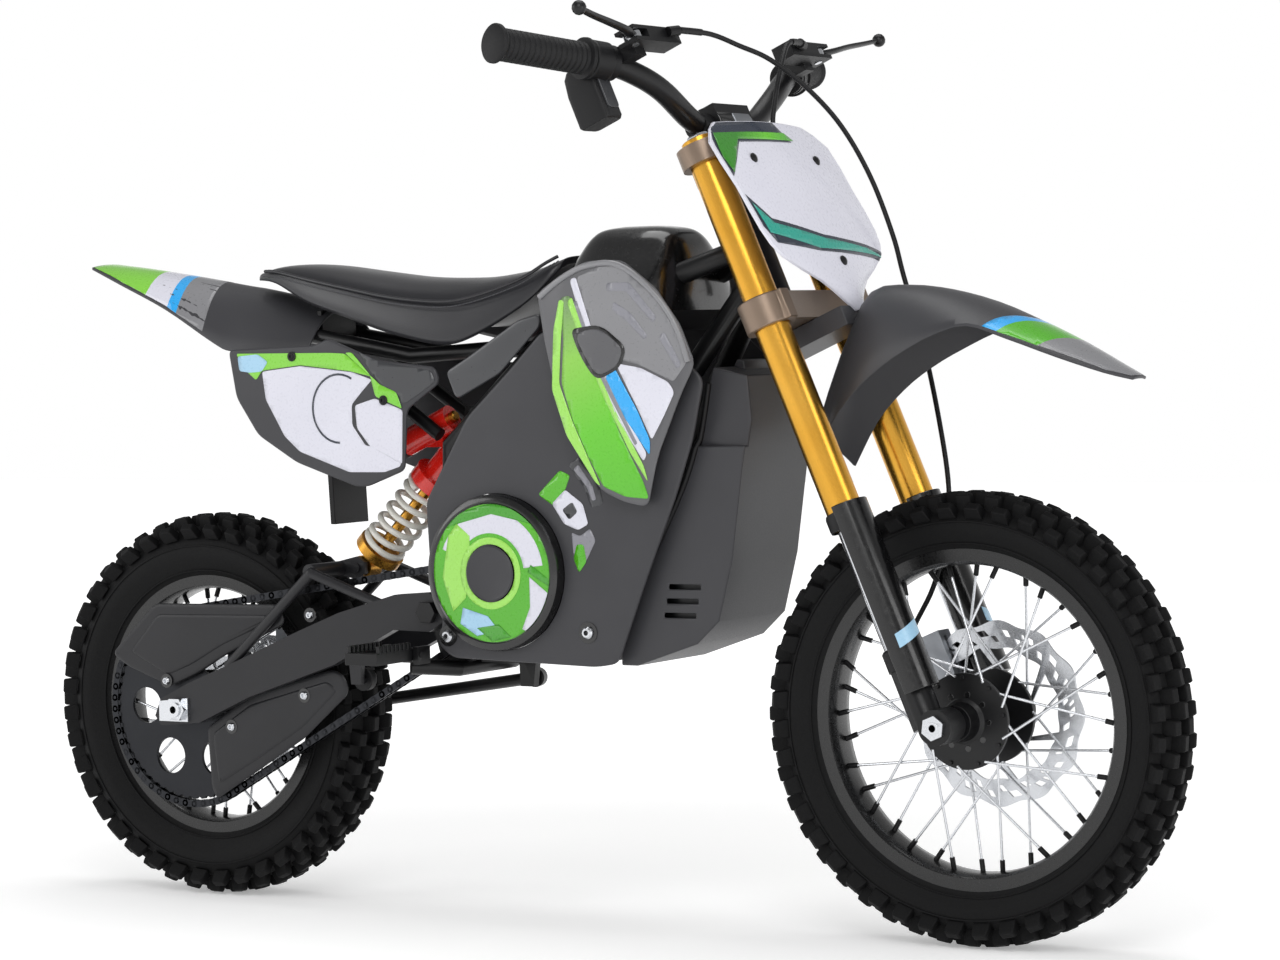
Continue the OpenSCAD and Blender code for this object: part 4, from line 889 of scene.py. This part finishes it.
def number_plate():
    rows = [(182, 67, 86), (158, 72, 116), (108, 81, 114), (60, 88, 114), (30, 91, 98), (4, 93, 46),
            (-14, 94, 22), (-29, 95, 5)]
    grid = across_rows(rows, lambda r, f: (r[1] - 7 * f * f, f * r[2], r[0]), 2, 16)
    plate = Build()
    sheet_of(plate, grid, "white", 3, (-1, 0, 0), FORK_TO_BIKE)
    plate.piece("front_number_plate", "steering", "white", ["number_plate"], bevel=0.7)
    laid = on_grid(grid, 2, 1, (1, 0, 0))

    def onto(y, z):
        place, way = laid(z, y)
        return FORK_TO_BIKE @ place, FORK_TO_BIKE.to_3x3() @ Vector(way)

    films = Build()
    for outline, key in (
            ([(-112, 172), (-84, 181), (16, 181), (30, 158), (-70, 157), (-112, 118), (-113, 140)],
             "navy"),
            ([(-106, 168), (25, 169), (36, 160), (-70, 160), (-108, 122), (-112, 140)], "plate_green"),
            ([(-111, 98), (-90, 70), (-15, 51), (69, 41), (111, 34), (108, 24), (70, 27), (-33, 33),
              (-100, 44),
              (-110, 62)], "navy"),
            ([(-108, 88), (-90, 65), (-15, 47), (69, 37), (106, 28), (70, 31), (-33, 36), (-104, 55)],
             "teal")):
        film(films, outline, key, onto, 0.35 if key in ("navy",) else 0.6)
    film_piece(films, "number_plate_stripes", "steering", "white")
    bolts = Build()
    for y, z in ((-62, 138), (62, 138), (0, 22)):
        place, way = onto(y, z)
        bolts.turned([(0.01, 0), (5, 0), (5, 1.2), (3.4, 2.4), (0.01, 2.9)], "dull_black",
                     at=Matrix.Translation(place) @ along(way), sides=20,
                     closed=False)
    bolts.piece("number_plate_screws", "steering", "black_plastic")


def fenders():
    rear = [(-284, 622, 586, 60), (-345, 638, 582, 64), (-384, 646, 583, 64), (-410, 650, 593, 62),
            (-475, 661, 628, 56), (-542, 671, 656, 48), (-592, 677, 674, 34)]
    grid = across_rows(rear, lambda r, f: (r[0], f * r[3], r[1] + (r[2] - r[1]) * abs(f) ** 2.2), 4, 18)
    build = Build()
    sheet_of(build, grid, "charcoal", 3, (0, 0, -1))
    build.plate([(-290, 621), (-296, 621), (-285.3, 398), (-279.3, 398)], -30, 30, "dull_black")
    build.piece("rear_fender_shell", "frame", "fender", ["rear_fender"], angle=50, bevel=0.8)
    onto = on_grid(grid, 0, 1, (0, 0, 1))
    films = Build()
    for outline, key in (
            ([(-590, -33), (-590, 33), (-540, 46), (-520, 49), (-505, -52), (-540, -47)], "green"),
            ([(-505, -52), (-520, 49), (-492, 53), (-474, -55)], "white"),
            ([(-474, -55), (-492, 53), (-480, 55), (-461, -57)], "blue"),
            ([(-461, -57), (-480, 55), (-440, 58), (-424, -60)], "shroud_pale")):
        film(films, outline, key, onto)
    film_piece(films, "rear_fender_stripes", "frame", "fender")

    front = [(281, 480, 294, 456, 44), (300, 535, 318, 500, 48), (320, 584, 345, 530, 52),
             (345, 626, 375, 553, 57),
             (385, 631, 406, 570, 63), (426, 626, 440, 585, 66), (466, 615, 474, 593, 64),
             (510, 597, 510, 581, 57),
             (560, 574, 558, 562, 45), (600, 552, 598, 547, 30), (621, 541, 620, 540, 14)]

    def place(r, f):
        edge = abs(f) ** 2.2
        return r[0] + (r[2] - r[0]) * edge, f * r[4], r[1] + (r[3] - r[1]) * edge

    grid = across_rows(front, place, 3, 18)
    inner = []
    for i, row in enumerate(grid):
        along = (grid[min(i + 1, len(grid) - 1)][9] - grid[max(i - 1, 0)][9]).normalized()
        way = along.cross((0, 1, 0)).normalized()
        inner.append([p + (way if way.z < 0 else -way) * 3 for p in row])
    build = Build()
    build.shell(grid, inner, "charcoal")
    build.lofted([[(x, y, z) for x, y in ((-4, -30), (86, -30), (86, 30), (-4, 30))] for z in (-42,
                                                                                               -22.5)],
                 "charcoal", FORK_TO_BIKE)
    build.piece("front_fender_shell", "steering", "fender", ["front_fender"], angle=50, bevel=0.8)
    onto = on_grid(grid[6:], 0, 1, (0, 0, 1))
    films = Build()
    for outline, key in (
            ([(540, -48), (600, -29), (618, -14), (620, 0), (618, 14), (600, 29), (560, 43), (556, 0)],
             "shroud_pale"),
            ([(500, -58), (540, -48), (556, 0), (560, 43), (532, 50), (520, 0)], "green"),
            ([(484, -61), (500, -58), (520, 0), (532, 50), (524, 52), (510, 0)], "blue")):
        film(films, outline, key, onto)
    film_piece(films, "front_fender_stripes", "steering", "fender")


number_plate()
fenders()


# ---- side panels, shrouds and guards ----
def on_side(y, side, bulge=None):
    """A way to lay films on a panel's outer face."""
    def onto(x, z):
        return (x, side * (y + (bulge(x, z) if bulge else 0)), z), (0, side, 0)
    return onto


def bored(obj, centre, radius, reach):
    """Cuts a round hole across the bike through a piece."""
    mesh = bpy.data.meshes.new("cutter")
    cut = bmesh.new()
    bmesh.ops.create_cone(cut, cap_ends=True, segments=96, radius1=radius * MM, radius2=radius * MM,
                          depth=reach * MM,
                          matrix=Matrix.Translation(Vector(centre) * MM) @ Matrix.Rotation(math.pi / 2,
                                                                                           4, "X"))
    cut.to_mesh(mesh)
    cut.free()
    tool = bpy.data.objects.new("cutter", mesh)
    bpy.context.scene.collection.objects.link(tool)
    modifier = obj.modifiers.new("bore", "BOOLEAN")
    modifier.operation, modifier.object, modifier.solver = "DIFFERENCE", tool, "EXACT"
    made = bpy.data.meshes.new_from_object(obj.evaluated_get(bpy.context.evaluated_depsgraph_get()))
    obj.modifiers.remove(modifier)
    obj.data = made
    bpy.data.objects.remove(tool)


def screws(name, body, slot, places, radius, key, side=-1, washer=True):
    """Domed screws with a socket, on a washer; places are (x, how far out, z)."""
    build = Build()
    for x, y, z in places:
        at = Matrix.Translation((x, side * y,
                                 z)) @ Matrix.Rotation(math.radians(90 if side < 0 else -90), 4, "X")
        if washer:
            build.turned([(0.01, -0.4), (radius * 1.7, -0.4), (radius * 1.7, 0.8), (0.01, 0.8)],
                         "gloss_black", at=at,
                         sides=28, closed=False)
        build.turned([(0.01, 0), (radius, 0), (radius, radius * 0.45), (radius * 0.72, radius * 0.78),
                      (radius * 0.42, radius * 0.82), (radius * 0.4, radius * 0.4),
                      (0.01, radius * 0.4)], key,
                     at=at, sides=24, closed=False)
    build.piece(name, body, slot, angle=30)


SIDE = [(16, 595), (-20, 560), (-76, 510), (-128, 425), (-124, 340), (-112, 326), (-112, 298),
        (-118, 282),
        (-101, 268), (71, 263), (96, 267), (128, 345), (166, 432), (186, 486), (200, 545), (150, 590)]
SIDE_UPPER = [(14, 612), (-12, 606), (-70, 572), (-100, 556), (-88, 528), (-36, 553), (14, 600)]
SHROUD = [(20, 632), (50, 650), (79, 662), (120, 662), (158, 634), (184, 598), (199, 560), (182, 528),
          (156, 470), (143, 422), (116, 427), (91, 438), (63, 477), (43, 526), (28, 586)]
NUMBER = [(-373, 582), (-364, 532), (-337, 493), (-289, 465), (-214, 440), (-200, 440), (-153, 457),
          (-149, 518),
          (-108, 545), (-113, 561), (-185, 569), (-245, 592), (-262, 585)]
UPPER_GUARD = [(-554, 259), (-494, 314), (-330, 316), (-322, 296), (-400, 262), (-440, 240), (-476, 226),
               (-533, 246)]
LOWER_GUARD = [(-428, 184), (-424, 120), (-418, 108), (-367, 138), (-300, 178), (-243, 226), (-247, 243),
               (-262, 250), (-371, 221)]


def shroud_bulge(x, z):
    return 5.5 * max(0, 1 - ((x - 108) / 95) ** 2 - ((z - 545) / 150) ** 2)


def side_panels():
    for side, name in ((-1, "right"), (1, "left")):
        panel = Build()
        panel.moulded(SIDE, 81.2, 1.2, "charcoal", side, edge=3.5, crown=1.8, corner=9)
        obj = panel.piece("side_panel_%s_moulding" % name, "frame", "panel", ["side_panel_" + name],
                          angle=32)
        bored(obj, (-42, side * 82, 355), 79 if side < 0 else 24, 30)
        upper = Build()
        upper.moulded(SIDE_UPPER, 81.2, 1.2, "shroud_dark", side, edge=3, crown=1.8, corner=6)
        upper.piece("seat_side_%s_moulding" % name, "frame", "panel", angle=32)
        films = Build()
        onto = on_side(83, side)
        for outline, key, lift in (
                ([(8, 433), (34, 457), (46, 452), (40, 438), (26, 422)], "green", 0.3),
                ([(24, 424), (40, 438), (60, 424), (66, 404), (54, 398), (38, 404)], "white", 0.5),
                ([(36, 418), (48, 426), (54, 416), (44, 408)], "shroud_dark", 0.7),
                ([(44, 462), (56, 470), (78, 448), (84, 424), (70, 420), (62, 440)], "shroud_dark", 0.3),
                ([(50, 458), (56, 463), (72, 442), (76, 428), (71, 427), (65, 441)], "line", 0.5),
                ([(46, 396), (56, 392), (68, 400), (74, 388), (64, 370), (54, 358), (48, 374)], "line",
                 0.3),
                ([(48, 370), (54, 356), (63, 367), (60, 384), (52, 384)], "green", 0.5)):
            film(films, outline, key, onto, lift, corner=3)
        film_piece(films, "side_panel_%s_film" % name, "frame", "panel")
        screws("side_panel_%s_screws" % name, "frame", "bright",
               [(63, 83, 297), (-104, 83, 290), (150, 83, 505)], 6.2, "steel", side)


def shrouds():
    build = Build()
    for side in (-1, 1):
        build.moulded(SHROUD, 95.2, 1.2, "shroud", side, edge=7, crown=1.8, corner=9, bulge=shroud_bulge)
    build.piece("shroud_mouldings", "frame", "shroud", ["shrouds"], angle=32)
    for side, name in ((-1, "right"), (1, "left")):
        films = Build()
        onto = on_side(97, side, shroud_bulge)
        graphics = (
            ([(68, 646), (94, 656), (122, 656), (158, 628), (190, 580), (192, 562), (177, 543),
              (143, 559),
              (105, 569), (85, 599)], "shroud_pale", 0.3),
            ([(50, 627), (61, 629), (75, 595), (94, 546), (115, 497), (140, 448), (146, 430), (120, 432),
              (95, 442),
              (77, 475), (61, 509), (50, 543), (53, 585)], "band", 0.3),
            ([(58, 622), (63, 628), (84, 582), (108, 524), (142, 462), (146, 446), (128, 474), (100, 528),
              (76, 580)], "lime", 0.5),
            ([(61, 644), (68, 647), (92, 582), (119, 518), (146, 474), (142, 466), (113, 511),
              (86, 573)], "white", 0.5),
            ([(66, 622), (69, 624), (96, 560), (136, 484), (133, 482), (92, 556)], "line", 0.7),
            ([(102, 550), (113, 557), (137, 516), (150, 487), (149, 472), (130, 499), (108, 528)],
             "blue", 0.6),
            ([(114, 562), (142, 557), (172, 543), (178, 533), (167, 512), (152, 487), (137, 519)],
             "white", 0.6),
            ([(41, 595), (48, 625), (54, 624), (50, 585), (47, 543), (62, 505), (92, 442), (86, 446),
              (54, 492),
              (38, 537)], "lime", 0.45),
            ([(104, 640), (130, 640), (160, 606), (156, 600), (126, 632), (104, 632)], "line", 0.5),
            ([(112, 622), (132, 610), (150, 588), (146, 584), (128, 602), (110, 614)], "line", 0.5),
            ([(168, 592), (186, 560), (181, 555), (162, 586)], "line", 0.5),
            ([(62, 596), (97, 600), (127, 577), (119, 557), (92, 545), (78, 562), (68, 580)],
             "gloss_black", 0.75),
            ([(66, 592), (96, 597), (123, 576), (116, 559), (93, 549), (80, 567)], "shroud", 1.0))
        for outline, key, lift in graphics:
            film(films, outline, key, onto, lift, corner=12 if lift > 0.7 else 4)
        film_piece(films, "shroud_%s_films" % name, "frame", "shroud")
    ridge = Build()
    for side in (-1, 1):
        rim = [(24, 628), (50, 645), (80, 657), (118, 657), (156, 630), (180, 598), (193, 562)]
        ridge.tube([(x, side * (97.3 + shroud_bulge(x, z)), z) for x, z in
                    [(p[0], p[1]) for p in flow(rim, 5)]], 3.0, "shroud_pale", sides=12)
    ridge.piece("shroud_top_ridges", "frame", "shroud")


def number_panels():
    build = Build()
    for side in (-1, 1):
        build.moulded(NUMBER, 81.2, 1.2, "charcoal", side, edge=3, crown=1.8, corner=7)
    build.piece("number_panel_mouldings", "frame", "white", ["number_panels"], angle=32)
    for side, name in ((-1, "right"), (1, "left")):
        films = Build()
        onto = on_side(83, side)
        for outline, key, lift in (
                ([(-329, 559), (-280, 564), (-215, 557), (-190, 549), (-203, 537), (-216, 524),
                  (-216, 503),
                  (-200, 482), (-156, 479), (-157, 461), (-177, 455), (-221, 455), (-283, 476),
                  (-302, 492),
                  (-325, 530)], "white", 0.3),
                ([(-212, 523), (-187, 530), (-153, 518), (-155, 463), (-195, 482), (-210, 500)], "white",
                 0.5),
                ([(-362, 578), (-242, 577), (-223, 576), (-190, 552), (-217, 558), (-280, 565),
                  (-329, 560),
                  (-337, 550), (-352, 562)], "green", 0.4),
                ([(-223, 577), (-214, 577), (-192, 554), (-186, 532), (-153, 519), (-160, 536),
                  (-180, 544)],
                 "green", 0.7),
                ([(-360, 575), (-334, 577), (-321, 569), (-329, 559), (-345, 558), (-358, 560)],
                 "pale_blue", 0.8),
                ([(-206, 578), (-183, 568), (-117, 557), (-112, 547), (-122, 540), (-150, 524),
                  (-180, 542)],
                 "shroud_dark", 0.5)):
            film(films, outline, key, onto, lift, corner=3)
        turns = [math.radians(a) for a in range(60, 271, 10)]
        film(films, [(-232 + 34 * math.cos(t), 520 + 36 * math.sin(t)) for t in turns]
             + [(-232 + 32 * math.cos(t), 520 + 34 * math.sin(t)) for t in reversed(turns)], "navy",
             onto, 0.8)
        film_piece(films, "number_panel_%s_films" % name, "frame", "white")
        screws("number_panel_%s_screws" % name, "frame", "bright",
               [(-290, 82.6, 574), (-176, 82.6, 528)], 4.2,
               "dull_black", side, washer=False)


def chain_guards():
    build = Build()
    for outline in (UPPER_GUARD, LOWER_GUARD):
        build.moulded(outline, 64, 1.2, "arm", -1, edge=5, crown=1.5, corner=8)
    inset = [(-528, 262), (-490, 303), (-345, 305), (-340, 298), (-404, 272), (-446, 250), (-478, 238)]
    build.moulded(inset, 65.2, 0.6, "arm", -1, edge=4, crown=1.6, corner=7)
    inner = [(-420, 178), (-414, 124), (-366, 150), (-302, 188), (-256, 228), (-268, 238), (-370, 210)]
    build.moulded(inner, 65.2, 0.6, "arm", -1, edge=4, crown=1.6, corner=7)
    build.piece("chain_guard_mouldings", "swing", "fender", ["chain_guards"], angle=32)
    screws("chain_guard_bolts", "swing", "bright",
           [(-394, 66.4, 186), (-298, 66.4, 222), (-479, 66.4, 232), (-288, 66.4, 306)], 4.4, "steel")


def motor_cover():
    """The round cover: a black rim, a domed face with printed rings, and a plain boss."""
    at = Matrix.Translation(COVER) @ Matrix.Rotation(math.radians(90), 4, "X")
    build = Build()
    build.turned([(0.01, 66), (76.5, 66), (78.3, 68), (78.3, 90), (77, 94), (72.5, 96.5), (70.5, 96.6),
                  (69.5, 95.6),
                  (68, 95.2), (0.01, 97.8)], "gloss_black", at=at, sides=128, closed=False)
    build.turned([(0.01, 97.2), (27, 97.2), (28, 98.6), (26.4, 99.6), (24, 98.9), (0.01, 98.9)], "box",
                 at=at,
                 sides=72, closed=False)
    build.piece("motor_cover_moulding", "frame", "green", ["motor_cover"], angle=28)

    def onto(x, z):
        out = Vector((x - COVER.x, z - COVER.z))
        if out.length > 69:
            out = out.normalized() * 69
        return (COVER.x + out.x, -(95.3 + 2.5 * (1 - out.length / 68)), COVER.z + out.y), (0, -1, 0)

    def ring(r0, r1, a0, a1):
        angles = [math.radians(a0 + (a1 - a0) * k / 24) for k in range(25)]
        return ([(COVER.x + r1 * math.cos(t), COVER.z + r1 * math.sin(t)) for t in angles]
                + [(COVER.x + r0 * math.cos(t), COVER.z + r0 * math.sin(t)) for t in reversed(angles)])

    films = Build()
    for outline, key, lift in (
            (ring(29, 69, -180, 0), "green", 0.3), (ring(29, 69, 0, 180), "green", 0.3),
            (ring(40, 62, 8, 158), "white", 0.5),
            ([(-96, 400), (-40, 414), (22, 402), (26, 408), (10, 420), (-40, 425), (-84, 414)],
             "plate_green", 0.7),
            ([(-92, 392), (-82, 404), (-66, 392), (-66, 366), (-72, 330), (-88, 316), (-100, 350)],
             "lime", 0.7),
            (ring(29, 36, -180, 0), "lime", 0.7), (ring(29, 36, 0, 180), "lime", 0.7),
            ([(4, 352), (25, 336), (18, 312), (4, 292), (-6, 300), (4, 322)], "white", 0.8),
            ([(6, 364), (26, 350), (26, 343), (2, 357)], "plate_green", 0.8),
            ([(-76, 320), (-46, 312), (-34, 298), (-60, 292), (-80, 304)], "pale_blue", 0.8),
            ([(-60, 300), (-34, 304), (-20, 292), (-42, 287)], "plate_green", 0.9)):
        film(films, outline, key, onto, lift, step=6)
    film_piece(films, "motor_cover_films", "frame", "green")


def box_trim():
    """The rubber strip down the battery box's rear edge."""
    build = Build()
    rear_edge = [(193, 540), (182, 486), (164, 438), (122, 359), (89, 282)]
    for side in (-1, 1):
        build.tube([(x, side * (66.4 if z < 481 else 60.4), z) for x, z in
                    [(p[0], p[1]) for p in flow(rear_edge, 5)]], 3.4, "dull_black", sides=12)
    build.piece("battery_box_edge_strips", "frame", "box")


side_panels()
shrouds()
number_panels()
chain_guards()
motor_cover()
box_trim()


# ---- shock spring and chain ----
def shock_coil():
    way = (SHOCK_EYE - SHOCK_TOP).normalized()
    length = (SHOCK_EYE - SHOCK_TOP).length
    frame_of = Matrix.Translation(SHOCK_TOP) @ along(way)
    turns, start, stop, radius = 6.2, 98.5, length - 34.5, 21.5
    path = []
    for k in range(241):
        u = k / 240
        rise = min(1, max(0, (u - 0.09) / 0.82))
        path.append((radius * math.cos(2 * math.pi * turns * u),
                     radius * math.sin(2 * math.pi * turns * u),
                     start + (stop - start) * rise))
    build = Build()
    build.tube(path, 3.3, "pearl", at=frame_of, sides=14)
    coil = build.piece("shock_coil_spring", None, "spring", ["shock_spring"], angle=60)
    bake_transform(coil)
    cap = Build()
    at = Matrix.Translation((-196, -23, 480)) @ along(Vector((62, 0, 28)))
    cap.turned([(0.01, -2.5), (9, -2.5), (11, -1.5), (14.4, -0.5), (14.4, 5), (13.9, 5.6)], "dull_black",
               at=at,
               sides=40, closed=False)
    cap.turned([(0.01, 66), (6, 66), (6, 73), (4.5, 74.5), (0.01, 74.5)], "gold_small", at=at, sides=24,
               closed=False)
    cap.piece("shock_reservoir_caps", "shock_upper", "shock_red")


def chain_links():
    """Roller chain: a pair of plates at each pitch, with a bush at each joint."""
    teeth_rear, teeth_motor, pitch_r = 54, 13, 103
    small = pitch_r * teeth_motor / teeth_rear
    span = Vector((MOTOR.x - REAR.x, MOTOR.z - REAR.z))
    lean = math.acos((pitch_r - small) / span.length)
    slope = math.atan2(span.y, span.x)
    path = []
    for centre, radius, start, stop, steps in ((REAR, pitch_r, lean, 2 * math.pi - lean, 60),
                                               (MOTOR, small, -lean, lean, 20)):
        for k in range(steps + 1):
            t = slope + start + (stop - start) * k / steps
            path.append((centre.x + radius * math.cos(t), -55, centre.z + radius * math.sin(t)))
    path.append(path[0])
    total = sum((Vector(b) - Vector(a)).length for a, b in zip(path, path[1:]))
    pitch = 2 * math.pi * pitch_r / teeth_rear
    joints = round(total / pitch)
    outer, bush = Build(), Build()
    for y in (-3.6, 3.6):
        ring = [(3.9 * math.cos(t) + math.copysign(pitch / 2, math.cos(t)), 3.9 * math.sin(t))
                for t in (math.radians(a) for a in range(0, 360, 30))]
        outer.lofted([[(a, y + w, b) for a, b in ring] for w in (-0.6, 0.6)], "chain")
    bush.tube([(pitch / 2, -4.5, 0), (pitch / 2, 4.5, 0)], 1.7, "chain", sides=10)
    build = Build()
    build.copies(outer, joints, "chain", path=path)
    build.copies(bush, joints, "chain", path=path)
    obj = build.piece("roller_chain", None, "chain_steel", ["chain"], angle=40)
    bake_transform(obj)


shock_coil()
chain_links()


# ---- seat ----
def seat():
    """Foam under leathercloth: the pad is blown up by a cloth simulation, then seamed."""
    stations = [(-376, 665, 652, 28), (-340, 669, 646, 46), (-290, 667, 622, 60), (-230, 659, 604, 70),
                (-170, 652, 586, 76), (-110, 650, 574, 78), (-70, 652, 584, 76), (-20, 660, 614, 70),
                (8, 671, 640, 62), (21, 676, 656, 50)]
    law = [(-1, 1), (-0.985, 0.6), (-0.93, 0.3), (-0.8, 0.13), (-0.5, 0.04), (-0.25, 0.01), (0, 0),
           (0.25, 0.01),
           (0.5, 0.04), (0.8, 0.13), (0.93, 0.3), (0.985, 0.6), (1, 1)]
    rows = flow(stations, 5)

    def rim(s, shrink):
        x, top, edge, half = s
        upper = [(x, f * (half - shrink), top - shrink - c * (top - edge - shrink)) for f, c in law]
        lower = [(x, f * half * 0.84, top - max(c, 0.62) * (top - edge)) for f, c in reversed(law)]
        return upper + lower[1:-1]

    pad = Build()
    shrink = 2.5
    pad.lofted([rim(s, shrink) for s in rows], "vinyl")
    mesh = pad.as_mesh(recalculate=True)
    obj = bpy.data.objects.new("seat_pad", mesh)
    bpy.context.scene.collection.objects.link(obj)
    swell(obj, pressure=1.5, cap=0.004)
    obj.data.polygons.foreach_set("use_smooth", [True] * len(obj.data.polygons))
    finer = obj.modifiers.new("finer", "SUBSURF")
    finer.levels = finer.render_levels = 1
    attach(obj, "frame")
    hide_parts("seat")

    trim, stitch = Build(), Build()
    stitch.tube([(-1.9, 0, 0), (1.9, 0, 0)], 0.55, "thread", sides=6)
    lines = []
    for side in (-1, 1):
        lines.append([(s[0], side * s[3] * 0.945, s[1] - 0.33 * (s[1] - s[2]) + 1.5) for s in rows[3:-2]])
    for line in lines:
        trim.tube(line, 1.7, "vinyl", sides=10)
        trim.copies(stitch, 90, "thread", path=[(p[0], p[1] * 1.035, p[2] - 5.5) for p in line])
    trim.piece("seat_piping", "frame", "vinyl")


def swell(obj, pressure, cap):
    """Blows a pad up as cloth, evens the movement out, and holds each point within the cap."""
    scene = bpy.context.scene
    rest = np.array([v.co for v in obj.data.vertices])
    cloth = obj.modifiers.new("cloth", "CLOTH")
    cloth.settings.effector_weights.gravity = 0
    cloth.settings.use_pressure = True
    cloth.settings.uniform_pressure_force = pressure
    cloth.settings.quality = 6
    cloth.point_cache.frame_start, cloth.point_cache.frame_end = 1, 16
    for number in range(1, 17):
        scene.frame_set(number)
    graph = bpy.context.evaluated_depsgraph_get()
    blown = bpy.data.meshes.new_from_object(obj.evaluated_get(graph))
    obj.modifiers.clear()
    scene.frame_set(1)
    moved = np.array([v.co for v in blown.vertices]) - rest
    far = np.maximum(np.linalg.norm(moved, axis=1, keepdims=True), 1e-9)
    moved = moved * np.minimum(1, cap / far)
    ends = np.array([e.vertices for e in obj.data.edges])
    near = np.bincount(ends.ravel(), minlength=len(rest))[:, None]
    for _ in range(12):
        total = np.zeros_like(moved)
        np.add.at(total, ends[:, 0], moved[ends[:, 1]])
        np.add.at(total, ends[:, 1], moved[ends[:, 0]])
        moved = moved * (1 - RELAX) + total / near * RELAX
    obj.data.vertices.foreach_set("co", (rest + moved).ravel())
    obj.data.update()
    bpy.data.meshes.remove(blown)


seat()


# ---- studio ----
def studio():
    add_camera()
    floor_mesh = bpy.data.meshes.new("floor")
    floor_mesh.from_pydata([(-9, -9, 0), (9, -9, 0), (9, 9, 0), (-9, 9, 0)], [], [(0, 1, 2, 3)])
    floor = bpy.data.objects.new("floor", floor_mesh)
    paper = surface("matt_studio_paper", "#f4f4f4", "#f6f6f6", 0.9, grain_mm=30, bump=0.0)
    # the paper glows a little away from the bike, so that it meets the room without a line
    tree = paper.node_tree
    place = add_node(tree, "ShaderNodeTexCoord").outputs["Object"]
    far = add_node(tree, "ShaderNodeVectorMath", {"operation": "LENGTH"}, {0: place}).outputs["Value"]
    glow = add_node(tree, "ShaderNodeMapRange", inputs={
        "Value": far, "From Min": 0.8, "From Max": 3.0, "To Min": 0.3, "To Max": 0.78}).outputs[0]
    shader = tree.nodes["Principled BSDF"].inputs
    shader["Emission Color"].default_value = linear("#ffffff")
    tree.links.new(glow, shader["Emission Strength"])
    floor_mesh.materials.append(paper)
    bpy.context.scene.collection.objects.link(floor)
    world = bpy.data.worlds.new("pale_room")
    world.use_nodes = True
    tree = world.node_tree
    way = add_node(tree, "ShaderNodeTexCoord").outputs["Generated"]
    up = add_node(tree, "ShaderNodeSeparateXYZ", inputs={"Vector": way}).outputs["Z"]
    # white round the horizon and dimmer overhead, as a room lit from its walls
    dim = add_node(tree, "ShaderNodeMapRange", inputs={
        "Value": up, "From Min": 0.16, "From Max": 0.42, "To Min": 1.0, "To Max": 0.32}).outputs[0]
    tree.links.new(dim, tree.nodes["Background"].inputs["Strength"])
    tree.nodes["Background"].inputs["Color"].default_value = linear("#ffffff")
    bpy.context.scene.world = world
    add_area_light("key", (1.6, -2.6, 2.6), (0, 0, 0.4), (1.8, 1.8), 42)
    add_area_light("side", (-2.6, -2.0, 1.6), (0, 0, 0.4), (1.6, 1.6), 20)
    add_area_light("top", (0, 0.4, 3.2), (0, 0, 0.4), (2.4, 1.6), 34)
    add_area_light("front", (3.0, -0.6, 1.0), (0.3, 0, 0.4), (1.0, 1.6), 14)
    bpy.context.scene.view_settings.view_transform = "Standard"


studio()
